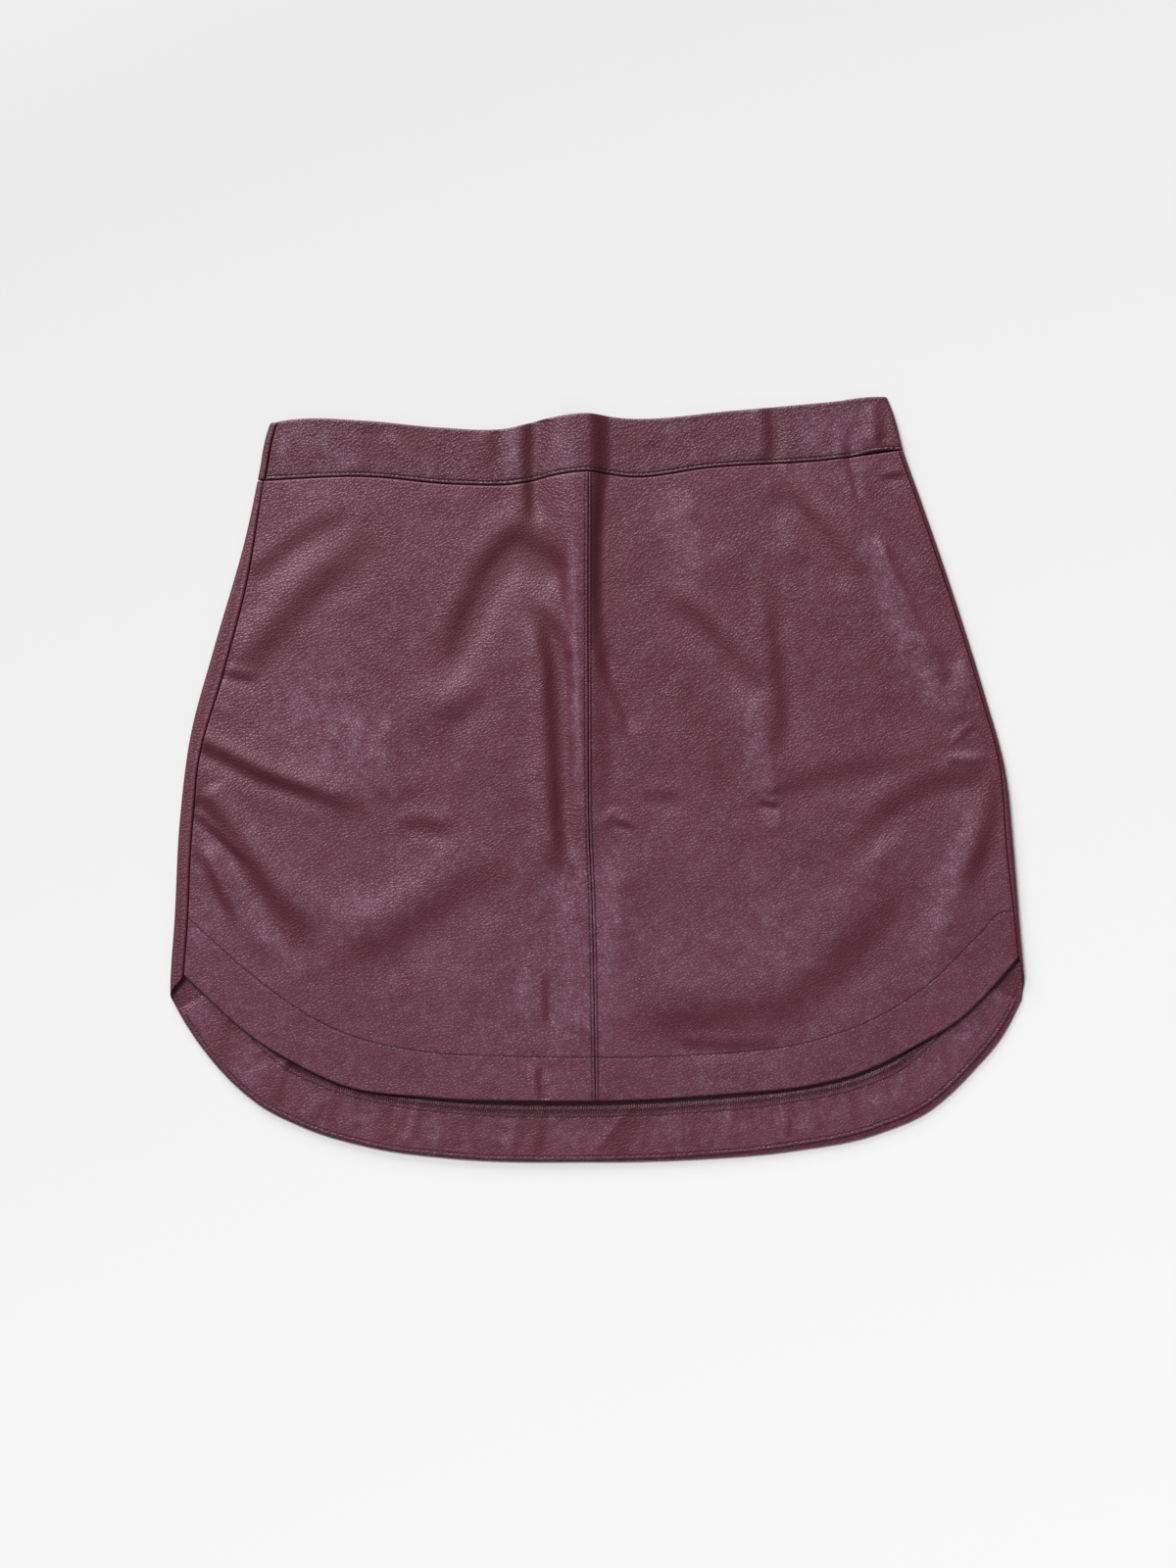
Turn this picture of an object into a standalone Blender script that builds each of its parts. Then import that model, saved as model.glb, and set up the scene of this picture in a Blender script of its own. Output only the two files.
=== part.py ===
"""A leather mini skirt with a shirttail hem, lying flat on its back with its front up.

The skirt is a tube of cloth pressed flat. Two back panels lie on the surface, run round the two side
folds and end in side seams on the front. Two front panels, joined down the middle, lie on them. A
waistband closes the top, a facing backs the longer back hem, and a concealed zip runs down the centre
back, where both layers stand up in a ridge. Sizes are in millimetres; +Y runs to the waist.
"""

import math

import bmesh
import bpy
import numpy as np

MM = 0.001

# Cloth walls and the space between pieces.
PANEL_THICK = 1.2
BAND_THICK = 1.8
FACING_THICK = 1.0
SEAM_GAP = 0.3
FOLD_RADIUS = 2.4
FOLD_TOP = 2 * FOLD_RADIUS

# Heights of the front layer: at the side folds, at its hem and in the open field.
FIELD_RISE = 0.5
FIELD_REACH = 45.0

# The zip ridge down the centre back, which lifts both layers.
ZIP_X = -9.0
ZIP_GAP = 2.0
RIDGE_TOP = 3.5
BACK_RIDGE = 4.5
FRONT_RIDGE = 6.1

# Outlines of the garment as it lies, as x from y or y from x.
LEFT_FOLD = [(-140, -261.3), (-125, -261.2), (-85, -258.6), (-25, -255.4), (30, -248.2), (79, -234.9),
             (151, -214.5), (187, -207.0), (211, -202.4), (222, -198.6)]
RIGHT_FOLD = [(-140, 262.4), (-120, 261.0), (-85, 258.0), (-40, 254.4), (7, 249.3), (55, 236.1),
              (116, 216.9), (175, 196.5), (200, 187.6), (223, 181.4), (236, 176.4)]
LEFT_SEAM = [(-122, -253.0), (-85, -250.2), (-50, -248.8), (-15, -246.2), (10, -243.6), (63, -228.9),
             (117, -214.8), (184, -203.8)]
RIGHT_STRIP = [(-108, 2.9), (-85, 2.9), (-50, 4.2), (-20, 4.0), (10, 3.0), (60, 2.8), (202, 2.8)]
CENTRE_SEAM = [(-197, -1.1), (-147, -1.7), (-76, -3.1), (-29, -5.0), (45, -5.5), (189, -5.5)]
FRONT_HEM = [(-254, -118.5), (-240, -132), (-213, -156), (-184, -174), (-157, -186.5), (-104, -194.2),
             (-30, -196.6), (23, -196.0), (80, -192.3), (130, -187.0), (160, -179.4), (196, -162),
             (224, -144.5), (244, -124.3), (258, -108)]
BACK_HEM = [(-262, -131), (-252, -149), (-235, -172.5), (-210, -196.5), (-182, -211.5), (-140, -224.4),
            (-90, -231.3), (-8, -233.6), (60, -231), (120, -224.8), (172, -213.4), (206, -197),
            (231, -173), (250, -149), (262.5, -124)]
BAND_SEAM = [(-208, 182.6), (-142, 185.2), (-84, 180.4), (-46, 181.2), (-27, 185.6), (-8, 188),
             (22, 184.8), (68, 190.5), (141, 195.3), (189, 201.8)]
WAIST_EDGE = [(-203, 217.4), (-187, 220), (-142, 219.3), (-97, 215.2), (-55, 214.6), (-30, 220.6),
              (-8, 223.4), (18, 220.6), (82, 225.3), (142, 230.7), (185, 234.6)]

# Where the seams end, as y at the hem or x at the hem and at the waistband.
LEFT_SEAM_FOOT = -120.5
RIGHT_SEAM_FOOT = -107.5
LEFT_HEAD_X = -204.0
RIGHT_HEAD_X = 184.6
CENTRE_FOOT_X = -1.1
CENTRE_HEAD_X = -5.5

# The waistband's two ends as it lies, as x at its seam and at its top edge, how far its own seams sit
# from the folds, and how much of its length turns level before the right fold.
BAND_LEFT_X = (-202.0, -198.0)
BAND_RIGHT_X = (184.0, 178.0)
BAND_STRIP_LEFT = 4.7
BAND_STRIP_RIGHT = 4.2
BAND_LEVEL_PART = 1 / 12

# The facing inside the back hem.
FACING_HEIGHT = 34.0
FACING_INSET = 0.6
FACING_ENDS = (0.004, 0.996)

# Grid counts: rows from hem to waist, columns from side to centre.
FRONT_ROWS = 22
BACK_ROWS = 18
FRONT_COLUMNS = 20
FLAT_COLUMNS = 14
BEND_COLUMNS = 6
STRIP_COLUMNS = 1
ROUNDING = 1e-6
BAND_ROWS = 2
BAND_COLUMNS = 38
FACING_COLUMNS = 56
FACING_ROWS = 2

# The slider inside the ridge and the pull tab below it. The tab turns on a line along X, and at rest
# it droops until its tip lies on the surface.
PULL_PIVOT = (ZIP_X, 206.0, 3.3)
PULL_DROOP = math.radians(9.5)
PULL_LENGTH = 17.0
PULL_THICK = 0.9
PULL_HEAD = 2.3
PULL_NECK = 1.5
PULL_TIP = 2.4
EYE_HALF = 1.2
EYE_START = 0.5
EYE_END = 4.3
EYE_WALL = 0.4
NECK_START = 2.2
SLIDER_SIZE = (4.6, 9.0, 1.8)
SLIDER_EDGE = 0.4
SLIDER_FLOOR = 6.7
BRIDGE_WIDTH = 1.2
BRIDGE_HALF_LENGTH = 3.2
BRIDGE_LEG = 1.0
BRIDGE_FLOOR = 1.6
BRIDGE_BAR = 0.8
BRIDGE_OVERLAP = 0.6

LEATHER = (0.150, 0.056, 0.080, 1.0)
LEATHER_BAND = (0.128, 0.048, 0.072, 1.0)
LEATHER_INSIDE = (0.138, 0.054, 0.078, 1.0)
ZIP_METAL = (0.105, 0.030, 0.045, 1.0)


# ---------------------------------------------------------------- curves and heights

def smooth(points):
    """A smooth line through (place, value) points, as a function of the place."""
    places = np.array([p[0] for p in points], float)
    values = np.array([p[1] for p in points], float)
    slopes = np.gradient(values, places)

    def value(place):
        place = np.clip(place, places[0], places[-1])
        i = np.clip(np.searchsorted(places, place) - 1, 0, len(places) - 2)
        span = places[i + 1] - places[i]
        t = (place - places[i]) / span
        start = (1 + 2 * t) * (1 - t) ** 2 * values[i] + t * (1 - t) ** 2 * span * slopes[i]
        end = t * t * (3 - 2 * t) * values[i + 1] + t * t * (t - 1) * span * slopes[i + 1]
        return start + end

    return value


left_fold = smooth(LEFT_FOLD)
right_fold = smooth(RIGHT_FOLD)
left_seam = smooth(LEFT_SEAM)
right_strip = smooth(RIGHT_STRIP)
centre_seam = smooth(CENTRE_SEAM)
front_hem = smooth(FRONT_HEM)
back_hem = smooth(BACK_HEM)
band_seam = smooth(BAND_SEAM)
waist_edge = smooth(WAIST_EDGE)


def ease(share):
    """0 to 1 with level ends."""
    share = min(max(share, 0.0), 1.0)
    return share * share * (3 - 2 * share)


# How high the ridge stands and how far its two sides reach, from its foot to the waist.
ridge_height = smooth([(-75, 0.0), (-48, 0.05), (-20, 0.20), (20, 0.32), (60, 0.42), (90, 0.58), (125, 0.84),
                       (160, 1.0), (230, 1.0)])
ridge_left = smooth([(-75, 9.0), (80, 8.0), (115, 12.0), (140, 20.0), (165, 30.0), (230, 30.0)])
ridge_right = smooth([(-75, 16.0), (20, 16.0), (70, 12.0), (120, 9.0), (165, 10.0), (190, 13.0),
                      (230, 13.0)])


def ridge(x, y):
    """The zip ridge as a share of its height: level on top, long to the left, steep to the right."""
    aside = x - ZIP_X
    reach = ridge_right(y) if aside > 0 else ridge_left(y)
    return float(ridge_height(y)) * (1 - ease((abs(aside) - RIDGE_TOP) / reach))


# The largest folds of the front: route, half width and height, troughs below zero.
FOLDS = [
    ([(-40, 214), (-40, 156)], 8, -0.7),
    ([(-86, 102), (-68, 128), (-52, 148)], 11, -1.3),
    ([(-52, 148), (-34, 138), (-20, 119)], 8, -1.2),
    ([(-74, 84), (-54, 116), (-38, 100)], 12, 1.2),
    ([(-213, 128), (-190, 146), (-161, 159)], 11, -0.9),
    ([(-206, 106), (-172, 138), (-120, 152)], 14, 0.9),
    ([(-220, 66), (-200, 82), (-182, 100)], 10, -1.1),
    ([(-208, 38), (-161, 46), (-123, -20)], 16, 1.0),
    ([(-240, 22), (-208, 4), (-176, -10), (-142, -17)], 9, -1.2),
    ([(-236, 0), (-212, -34), (-161, -76), (-94, -52)], 13, 1.4),
    ([(-244, -22), (-213, -50), (-180, -88)], 9, -1.2),
    ([(-232, -44), (-203, -96), (-192, -112)], 9, 1.2),
    ([(-65, -55), (-119, -115)], 16, -0.9),
    ([(121, 187), (130, 161), (156, 135), (160, 118)], 11, -1.0),
    ([(168, 150), (180, 109), (197, 80), (222, 57)], 10, 1.4),
    ([(31, 109), (60, 90), (88, 72)], 13, -0.9),
    ([(90, 44), (97, 15), (105, 0)], 10, 1.3),
    ([(216, 2), (141, -3), (112, -10)], 10, -0.9),
    ([(214, -30), (213, -62), (198, -110)], 12, 1.2),
    ([(20, -130), (84, -136), (150, -92)], 18, -0.8),
]


def fold_height(x, y):
    """What the folds add at a point: each one fades across its width and towards its two ends."""
    total = 0.0
    for route, half_width, height in FOLDS:
        lengths = [math.dist(a, b) for a, b in zip(route, route[1:])]
        nearest = (float("inf"), 0.0)
        passed = 0.0
        for (ax, ay), (bx, by), length in zip(route, route[1:], lengths):
            t = ((x - ax) * (bx - ax) + (y - ay) * (by - ay)) / length ** 2
            t = min(max(t, 0.0), 1.0)
            away = math.hypot(x - ax - t * (bx - ax), y - ay - t * (by - ay))
            nearest = min(nearest, (away, passed + t * length))
            passed += length
        away, place = nearest
        share = place / passed
        total += height * math.exp(-(away / half_width) ** 2) * ease(4 * share) * ease(4 * (1 - share))
    return total


def front_height(x, y):
    """Height of the front's outer face."""
    inside = min(x - float(left_fold(y)), float(right_fold(y)) - x)
    field = ease(inside / FIELD_REACH)
    above_hem = ease((y - float(front_hem(x))) / FIELD_REACH)
    return FOLD_TOP + field * (FIELD_RISE * above_hem + fold_height(x, y)) + FRONT_RIDGE * ridge(x, y)


def front_point(x, y, depth):
    """A point under the front's outer face, measured square to it."""
    step = 1.0
    slope_x = (front_height(x + step, y) - front_height(x - step, y)) / (2 * step)
    slope_y = (front_height(x, y + step) - front_height(x, y - step)) / (2 * step)
    length = math.sqrt(1 + slope_x ** 2 + slope_y ** 2)
    z = front_height(x, y)
    return x + slope_x * depth / length, y + slope_y * depth / length, z - depth / length


def back_point(x, y, depth):
    """A point over the back's outer face, which rests on the surface but for the ridge."""
    step = 1.0
    slope = BACK_RIDGE * (ridge(x + step, y) - ridge(x - step, y)) / (2 * step)
    length = math.sqrt(1 + slope ** 2)
    return x - slope * depth / length, y, BACK_RIDGE * ridge(x, y) + depth / length


def wrap_point(fold, inward, y, angle, depth):
    """A point on a side fold: angle -90 lies on the surface, +90 on top."""
    radius = FOLD_RADIUS - depth
    aside = FOLD_RADIUS - radius * math.cos(angle)
    return float(fold(y)) + inward * aside, y, FOLD_RADIUS + radius * math.sin(angle)


def patch(bottom, top, left, right):
    """A Coons patch between four curves of a share from 0 to 1."""
    corners = [[np.array(bottom(0.0)), np.array(top(0.0))], [np.array(bottom(1.0)), np.array(top(1.0))]]

    def point(u, v):
        ruled = (1 - v) * np.array(bottom(u)) + v * np.array(top(u))
        ruled = ruled + (1 - u) * np.array(left(v)) + u * np.array(right(v))
        flat = (1 - u) * ((1 - v) * corners[0][0] + v * corners[0][1])
        flat = flat + u * ((1 - v) * corners[1][0] + v * corners[1][1])
        return ruled - flat

    return point


def between(start, end, share):
    return start + (end - start) * share


# ---------------------------------------------------------------- building

def clear_scene():
    for old in list(bpy.data.objects):
        bpy.data.objects.remove(old, do_unlink=True)


def material(name, colour, roughness, metallic=0.0):
    made = bpy.data.materials.new(name)
    made.use_nodes = True
    shader = made.node_tree.nodes["Principled BSDF"]
    shader.inputs["Base Color"].default_value = colour
    shader.inputs["Roughness"].default_value = roughness
    shader.inputs["Metallic"].default_value = metallic
    return made


def add_object(name, bm, finish, sharp_angle=math.radians(40)):
    """Closes a bmesh into a named object with its faces out."""
    bmesh.ops.recalc_face_normals(bm, faces=bm.faces)
    mesh = bpy.data.meshes.new(name)
    bm.to_mesh(mesh)
    bm.free()
    mesh.materials.append(finish)
    mesh.shade_smooth()
    mesh.set_sharp_from_angle(angle=sharp_angle)
    made = bpy.data.objects.new(name, mesh)
    bpy.context.scene.collection.objects.link(made)
    return made


def cloth(name, columns, rows, place, thickness, finish):
    """One cut piece: a grid whose points place(u, v, depth) sets, extruded to its thickness."""
    bm = bmesh.new()
    bmesh.ops.create_grid(bm, x_segments=columns, y_segments=rows, size=0.5)
    shares = {v: (v.co.x + 0.5, v.co.y + 0.5) for v in bm.verts}
    outer = list(bm.verts)
    grown = bmesh.ops.extrude_face_region(bm, geom=list(bm.faces), use_keep_orig=True)["geom"]
    inner = [item for item in grown if isinstance(item, bmesh.types.BMVert)]
    inner_shares = {v: (v.co.x + 0.5, v.co.y + 0.5) for v in inner}
    for vert in outer:
        vert.co = [MM * c for c in place(*shares[vert], 0.0)]
    for vert in inner:
        vert.co = [MM * c for c in place(*inner_shares[vert], thickness)]
    return add_object(name, bm, finish)


def front_panel_left(finish):
    """Left front, from the left side seam to the centre front seam."""
    half = SEAM_GAP / 2
    foot_x = float(left_seam(LEFT_SEAM_FOOT)) + half
    foot_y = float(front_hem(foot_x))
    head_y = float(band_seam(LEFT_HEAD_X)) - half
    head_x = float(left_seam(head_y)) + half
    centre_foot = float(front_hem(CENTRE_FOOT_X))
    centre_head = float(band_seam(CENTRE_HEAD_X)) - half

    def hem(u):
        x = between(foot_x, float(centre_seam(centre_foot)) - half, u)
        return x, float(front_hem(x))

    def waist(u):
        x = between(head_x, float(centre_seam(centre_head)) - half, u)
        return x, float(band_seam(x)) - half

    def side(v):
        y = between(foot_y, head_y, v)
        return float(left_seam(y)) + half, y

    def centre(v):
        y = between(centre_foot, centre_head, v)
        return float(centre_seam(y)) - half, y

    plan = patch(hem, waist, side, centre)
    return cloth("front_panel_left", FRONT_COLUMNS, FRONT_ROWS,
                 lambda u, v, depth: front_point(*plan(u, v), depth), PANEL_THICK, finish)


def front_panel_right(finish):
    """Right front, from the centre front seam to the right side seam."""
    half = SEAM_GAP / 2
    centre_foot = float(front_hem(CENTRE_FOOT_X))
    centre_head = float(band_seam(CENTRE_HEAD_X)) - half

    def side_x(y):
        return float(right_fold(y)) - float(right_strip(y)) - half

    foot_y = float(front_hem(side_x(RIGHT_SEAM_FOOT)))
    foot_x = side_x(foot_y)
    head_x = side_x(float(band_seam(RIGHT_HEAD_X)) - half)

    def hem(u):
        x = between(float(centre_seam(centre_foot)) + half, foot_x, u)
        return x, float(front_hem(x))

    def waist(u):
        x = between(float(centre_seam(centre_head)) + half, head_x, u)
        return x, float(band_seam(x)) - half

    def centre(v):
        y = between(centre_foot, centre_head, v)
        return float(centre_seam(y)) + half, y

    def side(v):
        y = between(foot_y, float(band_seam(head_x)) - half, v)
        return side_x(y), y

    plan = patch(hem, waist, centre, side)
    return cloth("front_panel_right", FRONT_COLUMNS, FRONT_ROWS,
                 lambda u, v, depth: front_point(*plan(u, v), depth), PANEL_THICK, finish)


def wrapped_piece(name, fold, inward, centre_x, hem, head, strip, seam_rows, rows, columns, thickness,
                  finish):
    """A back piece: level from the centre to a side fold, round it, and on to a seam on the front.

    hem and head give y from x, strip gives the width past the fold from y, and seam_rows gives the
    piece's two ends on the seam. inward is +1 at the left fold and -1 at the right one.
    """
    flat_share = columns / (columns + BEND_COLUMNS + STRIP_COLUMNS)
    bend_share = BEND_COLUMNS / (columns + BEND_COLUMNS + STRIP_COLUMNS)
    low_foot = float(hem(float(fold(seam_rows[0])) + inward * FOLD_RADIUS))
    low_head = float(head(float(fold(seam_rows[1])) + inward * FOLD_RADIUS))
    bend_length = math.pi * FOLD_RADIUS

    def start(v):
        y = between(low_foot, low_head, v)
        return float(fold(y)) + inward * FOLD_RADIUS, y

    def bottom(u):
        x = between(centre_x, start(0.0)[0], u)
        return x, float(hem(x))

    def top(u):
        x = between(centre_x, start(1.0)[0], u)
        return x, float(head(x))

    def centre(v):
        return centre_x, between(float(hem(centre_x)), float(head(centre_x)), v)

    plan = patch(bottom, top, centre, start)

    def place(u, v, depth):
        if u <= flat_share + ROUNDING:
            return back_point(*plan(u / flat_share, v), depth)
        low = between(low_foot, low_head, v)
        high = between(*seam_rows, v)
        past = float(strip(high)) - FOLD_RADIUS
        if u <= flat_share + bend_share + ROUNDING:
            turn = (u - flat_share) / bend_share
            y = between(low, high, turn * bend_length / (bend_length + past))
            return wrap_point(fold, inward, y, math.pi * (turn - 0.5), depth)
        out = (u - flat_share - bend_share) / (1 - flat_share - bend_share)
        y = between(low, high, (bend_length + out * past) / (bend_length + past))
        x = float(fold(y)) + inward * (FOLD_RADIUS + out * past)
        return x, y, FOLD_TOP - depth

    return cloth(name, columns + BEND_COLUMNS + STRIP_COLUMNS, rows, place, thickness, finish)


def back_panel_left(finish):
    half = SEAM_GAP / 2
    seam_head = float(band_seam(LEFT_HEAD_X)) - half
    return wrapped_piece("back_panel_left", left_fold, 1, ZIP_X - half, back_hem,
                         lambda x: band_seam(x) - half,
                         lambda y: left_seam(y) - left_fold(y) - half,
                         (LEFT_SEAM_FOOT, seam_head), BACK_ROWS, FLAT_COLUMNS, PANEL_THICK, finish)


def back_panel_right(finish):
    half = SEAM_GAP / 2
    seam_head = float(band_seam(RIGHT_HEAD_X)) - half
    return wrapped_piece("back_panel_right", right_fold, -1, ZIP_X + half, back_hem,
                         lambda x: band_seam(x) - half, lambda y: right_strip(y) - half,
                         (RIGHT_SEAM_FOOT, seam_head), BACK_ROWS, FLAT_COLUMNS, PANEL_THICK, finish)


def waistband_back_left(finish):
    """Back waistband, left: runs round the left fold to its seam on the front."""
    half = SEAM_GAP / 2
    seam_rows = (float(band_seam(BAND_LEFT_X[0])) + half, float(waist_edge(BAND_LEFT_X[1])))
    return wrapped_piece("waistband_back_left", left_fold, 1, ZIP_X - ZIP_GAP / 2,
                         lambda x: band_seam(x) + half, waist_edge,
                         lambda y: BAND_STRIP_LEFT - half, seam_rows, BAND_ROWS, FLAT_COLUMNS,
                         BAND_THICK, finish)


def waistband_back_right(finish):
    """Back waistband, right: level, and ends short of the right fold."""
    half = SEAM_GAP / 2
    start_x = ZIP_X + ZIP_GAP / 2

    def side_x(y):
        return float(right_fold(y)) - BAND_STRIP_RIGHT - half

    def place(u, v, depth):
        low_x = between(start_x, side_x(float(band_seam(BAND_RIGHT_X[0]))), u)
        high_x = between(start_x, side_x(float(waist_edge(BAND_RIGHT_X[1]))), u)
        y = between(float(band_seam(low_x)) + half, float(waist_edge(high_x)), v)
        x = between(start_x, side_x(y), u)
        return back_point(x, y, depth)

    return cloth("waistband_back_right", FLAT_COLUMNS + 2, BAND_ROWS, place, BAND_THICK, finish)


def waistband_front(finish):
    """Front waistband: from its seam at the left, across, round the right fold and under it."""
    half = SEAM_GAP / 2
    columns = BAND_COLUMNS + BEND_COLUMNS + STRIP_COLUMNS
    flat_share = BAND_COLUMNS / columns
    bend_share = BEND_COLUMNS / columns

    def left_y(v):
        return between(float(band_seam(BAND_LEFT_X[0])) + half, float(waist_edge(BAND_LEFT_X[1])), v)

    def right_y(v):
        return between(float(band_seam(BAND_RIGHT_X[0])) + half, float(waist_edge(BAND_RIGHT_X[1])), v)

    def place(u, v, depth):
        if u <= flat_share + ROUNDING:
            share = u / flat_share
            left_x = float(left_fold(left_y(v))) + BAND_STRIP_LEFT + half
            right_x = float(right_fold(right_y(v))) - FOLD_RADIUS
            x = between(left_x, right_x, share)
            y = between(float(band_seam(x)) + half, float(waist_edge(x)), v)
            y = between(y, right_y(v), ease(1 - (1 - share) / BAND_LEVEL_PART))
            return front_point(x, y, depth)
        turn = min((u - flat_share) / bend_share, 1.0)
        x, y, z = wrap_point(right_fold, -1, right_y(v), math.pi * (0.5 - turn), depth)
        out = max((u - flat_share - bend_share) / (1 - flat_share - bend_share), 0.0)
        return x - out * (BAND_STRIP_RIGHT - half - FOLD_RADIUS), y, z

    return cloth("waistband_front", columns, BAND_ROWS, place, BAND_THICK, finish)


def back_hem_facing(finish):
    """The facing inside the back hem, in one strip that follows the hem's curve."""
    start_x = float(left_fold(-140)) + FOLD_RADIUS
    end_x = float(right_fold(-130)) - FOLD_RADIUS

    def hem_point(share):
        x = between(start_x, end_x, share)
        return np.array([x, float(back_hem(x))])

    def place(u, v, depth):
        share = between(*FACING_ENDS, u)
        along = hem_point(share + 0.01) - hem_point(share - 0.01)
        inward = np.array([-along[1], along[0]]) / np.hypot(*along)
        x, y = hem_point(share) + inward * between(FACING_INSET, FACING_HEIGHT, v)
        return x, y, PANEL_THICK + SEAM_GAP + depth

    return cloth("back_hem_facing", FACING_COLUMNS, FACING_ROWS, place, FACING_THICK, finish)


def block(bm, size, centre):
    """A box, in millimetres."""
    made = bmesh.ops.create_cube(bm, size=1.0)["verts"]
    for vert in made:
        vert.co = [MM * (centre[i] + vert.co[i] * size[i]) for i in range(3)]


def zip_slider(finish):
    """Slider body inside the ridge, with the bridge that holds the pull tab below the cloth."""
    x, y, _ = PULL_PIVOT
    body_top = SLIDER_FLOOR + SLIDER_SIZE[2]
    bm = bmesh.new()
    block(bm, SLIDER_SIZE, (x, y, (SLIDER_FLOOR + body_top) / 2))
    bmesh.ops.bevel(bm, geom=list(bm.edges), offset=SLIDER_EDGE * MM, segments=2, profile=0.5,
                    affect="EDGES", material=-1)
    body = add_object("zip_slider", bm, finish)
    leg_top = SLIDER_FLOOR + BRIDGE_OVERLAP
    outline = [(-BRIDGE_HALF_LENGTH, leg_top), (-BRIDGE_HALF_LENGTH, BRIDGE_FLOOR),
               (BRIDGE_HALF_LENGTH, BRIDGE_FLOOR), (BRIDGE_HALF_LENGTH, leg_top)]
    inside = BRIDGE_HALF_LENGTH - BRIDGE_LEG
    outline += [(inside, leg_top), (inside, BRIDGE_FLOOR + BRIDGE_BAR),
                (-inside, BRIDGE_FLOOR + BRIDGE_BAR), (-inside, leg_top)]
    bm = bmesh.new()
    ring = [bm.verts.new((MM * (x - BRIDGE_WIDTH / 2), MM * (y + along), MM * z)) for along, z in outline]
    face = bm.faces.new(ring)
    grown = bmesh.ops.extrude_face_region(bm, geom=[face], use_keep_orig=True)["geom"]
    moved = [item for item in grown if isinstance(item, bmesh.types.BMVert)]
    bmesh.ops.translate(bm, verts=moved, vec=(MM * BRIDGE_WIDTH, 0, 0))
    bridge = add_object("slider_bridge_guide", bm, finish)
    bridge.hide_render = True
    bridge.display_type = "WIRE"
    join = body.modifiers.new("bridge", "BOOLEAN")
    join.operation = "UNION"
    join.solver = "EXACT"
    join.object = bridge
    return body


def zip_pull(finish):
    """Pull tab: an eye round the bridge, a neck and a rounded tip. Its origin is on its pivot."""
    arc = [math.radians(a) for a in range(180, 361, 20)]
    tip_y = -(PULL_LENGTH - PULL_TIP)
    head_end = -EYE_END - EYE_WALL
    neck_start = -EYE_END - NECK_START
    outline = [(-PULL_HEAD, EYE_START), (-PULL_HEAD, head_end), (-PULL_NECK, neck_start)]
    outline += [(PULL_TIP * math.cos(a), tip_y + PULL_TIP * math.sin(a)) for a in arc]
    outline += [(PULL_NECK, neck_start), (PULL_HEAD, head_end), (PULL_HEAD, EYE_START)]
    bm = bmesh.new()
    ring = [bm.verts.new((MM * x, MM * y, -MM * PULL_THICK / 2)) for x, y in outline]
    face = bm.faces.new(ring)
    grown = bmesh.ops.extrude_face_region(bm, geom=[face], use_keep_orig=True)["geom"]
    moved = [item for item in grown if isinstance(item, bmesh.types.BMVert)]
    bmesh.ops.translate(bm, verts=moved, vec=(0, 0, MM * PULL_THICK))
    tab = add_object("zip_pull", bm, finish)
    bm = bmesh.new()
    block(bm, (2 * EYE_HALF, EYE_END - EYE_START, 4 * PULL_THICK), (0, -(EYE_START + EYE_END) / 2, 0))
    eye = add_object("pull_eye_guide", bm, finish)
    for made in (tab, eye):
        made.location = [MM * c for c in PULL_PIVOT]
        made.rotation_euler.x = PULL_DROOP
    eye.hide_render = True
    eye.display_type = "WIRE"
    cut = tab.modifiers.new("eye", "BOOLEAN")
    cut.operation = "DIFFERENCE"
    cut.solver = "EXACT"
    cut.object = eye
    return tab


def build():
    clear_scene()
    leather = material("leather", LEATHER, 0.42)
    band = material("leather_band", LEATHER_BAND, 0.42)
    inside = material("leather_facing", LEATHER_INSIDE, 0.45)
    metal = material("zip_metal", ZIP_METAL, 0.35, 0.6)
    back_panel_left(leather)
    back_panel_right(leather)
    back_hem_facing(inside)
    front_panel_left(leather)
    front_panel_right(leather)
    waistband_back_left(band)
    waistband_back_right(band)
    waistband_front(band)
    zip_slider(metal)
    zip_pull(metal)


build()
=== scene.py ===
import math

import bmesh
import bpy
import numpy as np
from mathutils import Matrix, Vector, noise


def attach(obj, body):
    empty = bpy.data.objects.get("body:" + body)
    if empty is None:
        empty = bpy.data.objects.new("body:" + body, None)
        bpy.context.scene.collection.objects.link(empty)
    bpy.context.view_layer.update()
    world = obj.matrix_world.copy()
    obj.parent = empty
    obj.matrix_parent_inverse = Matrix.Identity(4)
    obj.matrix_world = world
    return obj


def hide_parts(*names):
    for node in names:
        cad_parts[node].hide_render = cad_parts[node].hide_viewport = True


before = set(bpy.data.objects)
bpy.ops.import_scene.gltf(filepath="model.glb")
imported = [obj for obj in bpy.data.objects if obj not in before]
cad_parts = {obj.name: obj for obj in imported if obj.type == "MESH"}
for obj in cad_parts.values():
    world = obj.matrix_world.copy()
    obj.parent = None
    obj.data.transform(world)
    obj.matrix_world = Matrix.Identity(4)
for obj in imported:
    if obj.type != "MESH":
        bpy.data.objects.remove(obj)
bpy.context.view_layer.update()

MM = 0.001


# ---------------------------------------------------------------- back panels
# Two pieces of coated leather, oxblood under a satin film with a fine pebble grain. They lie on the
# surface wrong side up and come round the side folds to the side seams on the front. A zip between
# them lifts both into a ridge along the centre back.

def new_group(name, inputs, outputs):
    """An empty shader node group with named float inputs and outputs, and its two end nodes."""
    group = bpy.data.node_groups.new(name, "ShaderNodeTree")
    for label, value in inputs:
        socket = group.interface.new_socket(name=label, in_out="INPUT", socket_type="NodeSocketFloat")
        socket.default_value = value
    for label in outputs:
        group.interface.new_socket(name=label, in_out="OUTPUT", socket_type="NodeSocketFloat")
    return group, group.nodes.new("NodeGroupInput"), group.nodes.new("NodeGroupOutput")


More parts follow.
